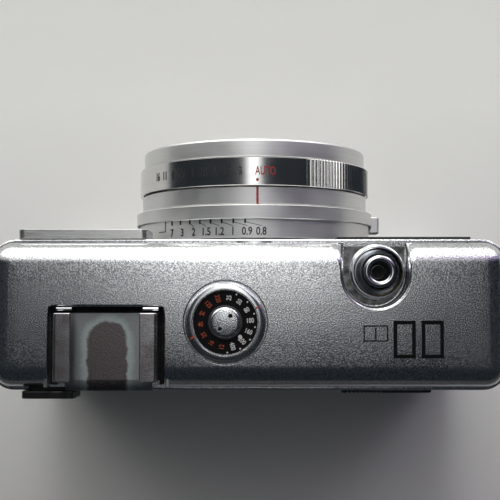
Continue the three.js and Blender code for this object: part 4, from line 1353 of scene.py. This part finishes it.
def make_stage():
    # Pale where the camera stands. Behind the camera it is painted darker as the camera's shadow, and further
    # back, where only the chrome sees it, it is near black as a painted shadow.
    look, n = material("floor_paper_painted_shadow", (0.9, 0.895, 0.88), 0.75)
    axes = n.add("SeparateXYZ", {"Vector": n.coords}).outputs
    pale = n.blend(n.noise(40, 3.0, 0.6), (0.93, 0.935, 0.88), (0.97, 0.975, 0.92))
    behind = n.blend(n.spread(axes["Y"], -0.06, 0.05, 0, 1), pale, (0.62, 0.61, 0.6))
    far_painted_shadow = n.spread(axes["Y"], 0.05, 0.13, 0, 1)
    n.set("Base Color", n.blend(far_painted_shadow, behind, (0.07, 0.07, 0.07)))
    stage_mesh("floor", block(-900, 900, -900, 900, -3, -0.02), look)
    camera_data = bpy.data.cameras.new("camera")
    camera_data.lens = FOCAL_LENGTH
    camera_data.sensor_width = SENSOR_WIDTH
    camera = placed("camera", camera_data)
    camera.location = Vector(CAMERA_PLACE) * MM
    # Looks straight down with the lens side at the top of the picture, so +X is on the left.
    aim = turn(math.pi, "Z") @ turn(math.radians(CAMERA_YAW), "Y") @ turn(math.radians(CAMERA_PITCH), "X")
    camera.rotation_euler = aim.to_euler()
    bpy.context.scene.camera = camera


make_stage()


# The light is a soft sky over a dim room: a bright front, tinted purple at the picture's right, brighter low
# sides ahead of the lens, and a narrow patch overhead that is stronger towards the front. Each fade runs over a
# span of the direction's x or y, where a unit direction's z is up.
ROOM = (0.018, 0.023, 0.028)
PATCH = (1.3, 1.3, 1.3)
PATCH_FRONT = (1.4, 1.4, 1.4)
PATCH_FRONT_SPAN = (-0.22, -0.06)
FRONT = (1.6, 1.59, 1.57)
TINT = (0.5, 0.28, 0.8)
SIDES = (5.2, 5.16, 5.05)
PATCH_MIDDLE_X = 0.01
PATCH_SIDES = (0.02, 0.19)
PATCH_BACK = (-0.05, 0.04)
FRONT_SPAN = (-0.55, -0.24)
FRONT_RIGHT = (-0.22, 0.03)
FRONT_LEFT = (0.14, 0.36)
TINT_SPAN = (-0.85, -0.6)
TINT_RIGHT = (-0.26, -0.1)
SIDES_SPAN = (0.35, 0.6)
SIDES_BACK = (-0.85, -0.5)
FILL_WIDTH = 0.5
FILL_HEIGHT = 0.04
FILL_POWER = 0.6
FILL_PLACE = (0, 0.45, 0.03)


def make_light():
    world = bpy.data.worlds.new("soft_world")
    bpy.context.scene.world = world
    world.use_nodes = True
    tree = world.node_tree

    def node(kind, *values, **settings):
        made = tree.nodes.new("ShaderNode" + kind)
        for key, value in settings.items():
            setattr(made, key, value)
        for index, value in enumerate(values):
            if isinstance(value, bpy.types.NodeSocket):
                tree.links.new(value, made.inputs[index])
            else:
                made.inputs[index].default_value = value
        return made

    def fade(value, span, start, end):
        made = node("MapRange", value, *span, start, end, interpolation_type="SMOOTHERSTEP")
        return made.outputs["Result"]

    def scaled(color, factor):
        return node("VectorMath", color, (0, 0, 0), (0, 0, 0), factor, operation="SCALE").outputs[0]

    def product(a, b):
        return node("Math", a, b, operation="MULTIPLY").outputs[0]

    def total(a, b):
        return node("VectorMath", a, b, operation="ADD").outputs[0]

    axes = node("SeparateXYZ", node("TexCoord").outputs["Generated"]).outputs
    side = node("Math", axes["X"], PATCH_MIDDLE_X, operation="SUBTRACT").outputs[0]
    side = node("Math", side, operation="ABSOLUTE").outputs[0]
    patch = product(fade(side, PATCH_SIDES, 1, 0), fade(axes["Y"], PATCH_BACK, 1, 0))
    ahead = fade(axes["Y"], FRONT_SPAN, 1, 0)
    across = product(fade(axes["X"], FRONT_RIGHT, 0.12, 1), fade(axes["X"], FRONT_LEFT, 1, 0.5))
    front = product(ahead, across)
    tint = product(ahead, product(fade(axes["X"], TINT_RIGHT, 1, 0), fade(axes["Y"], TINT_SPAN, 0, 0.5)))
    out = node("Math", axes["X"], operation="ABSOLUTE").outputs[0]
    sides = product(fade(out, SIDES_SPAN, 0.3, 1), fade(axes["Y"], SIDES_BACK, 1, 0))
    light = total(total(ROOM, scaled(PATCH, patch)), total(scaled(FRONT, front), scaled(TINT, tint)))
    overhead = product(fade(side, PATCH_SIDES, 1, 0), fade(axes["Y"], PATCH_FRONT_SPAN, 1, 0))
    light = total(total(light, scaled(SIDES, sides)), scaled(PATCH_FRONT, overhead))
    tree.links.new(light, tree.nodes["Background"].inputs["Color"])
    bpy.context.scene.view_settings.view_transform = "Standard"


make_light()


def make_rear_fill():
    """A weak low light behind, which shows the black back."""
    data = bpy.data.lights.new("rear_fill", "AREA")
    data.shape = "RECTANGLE"
    data.size = FILL_WIDTH
    data.size_y = FILL_HEIGHT
    data.energy = FILL_POWER
    lamp = placed("rear_fill", data)
    lamp.location = FILL_PLACE
    lamp.rotation_euler = (-math.pi / 2, 0, 0)
    lamp.visible_glossy = False
    lamp.visible_camera = False


make_rear_fill()
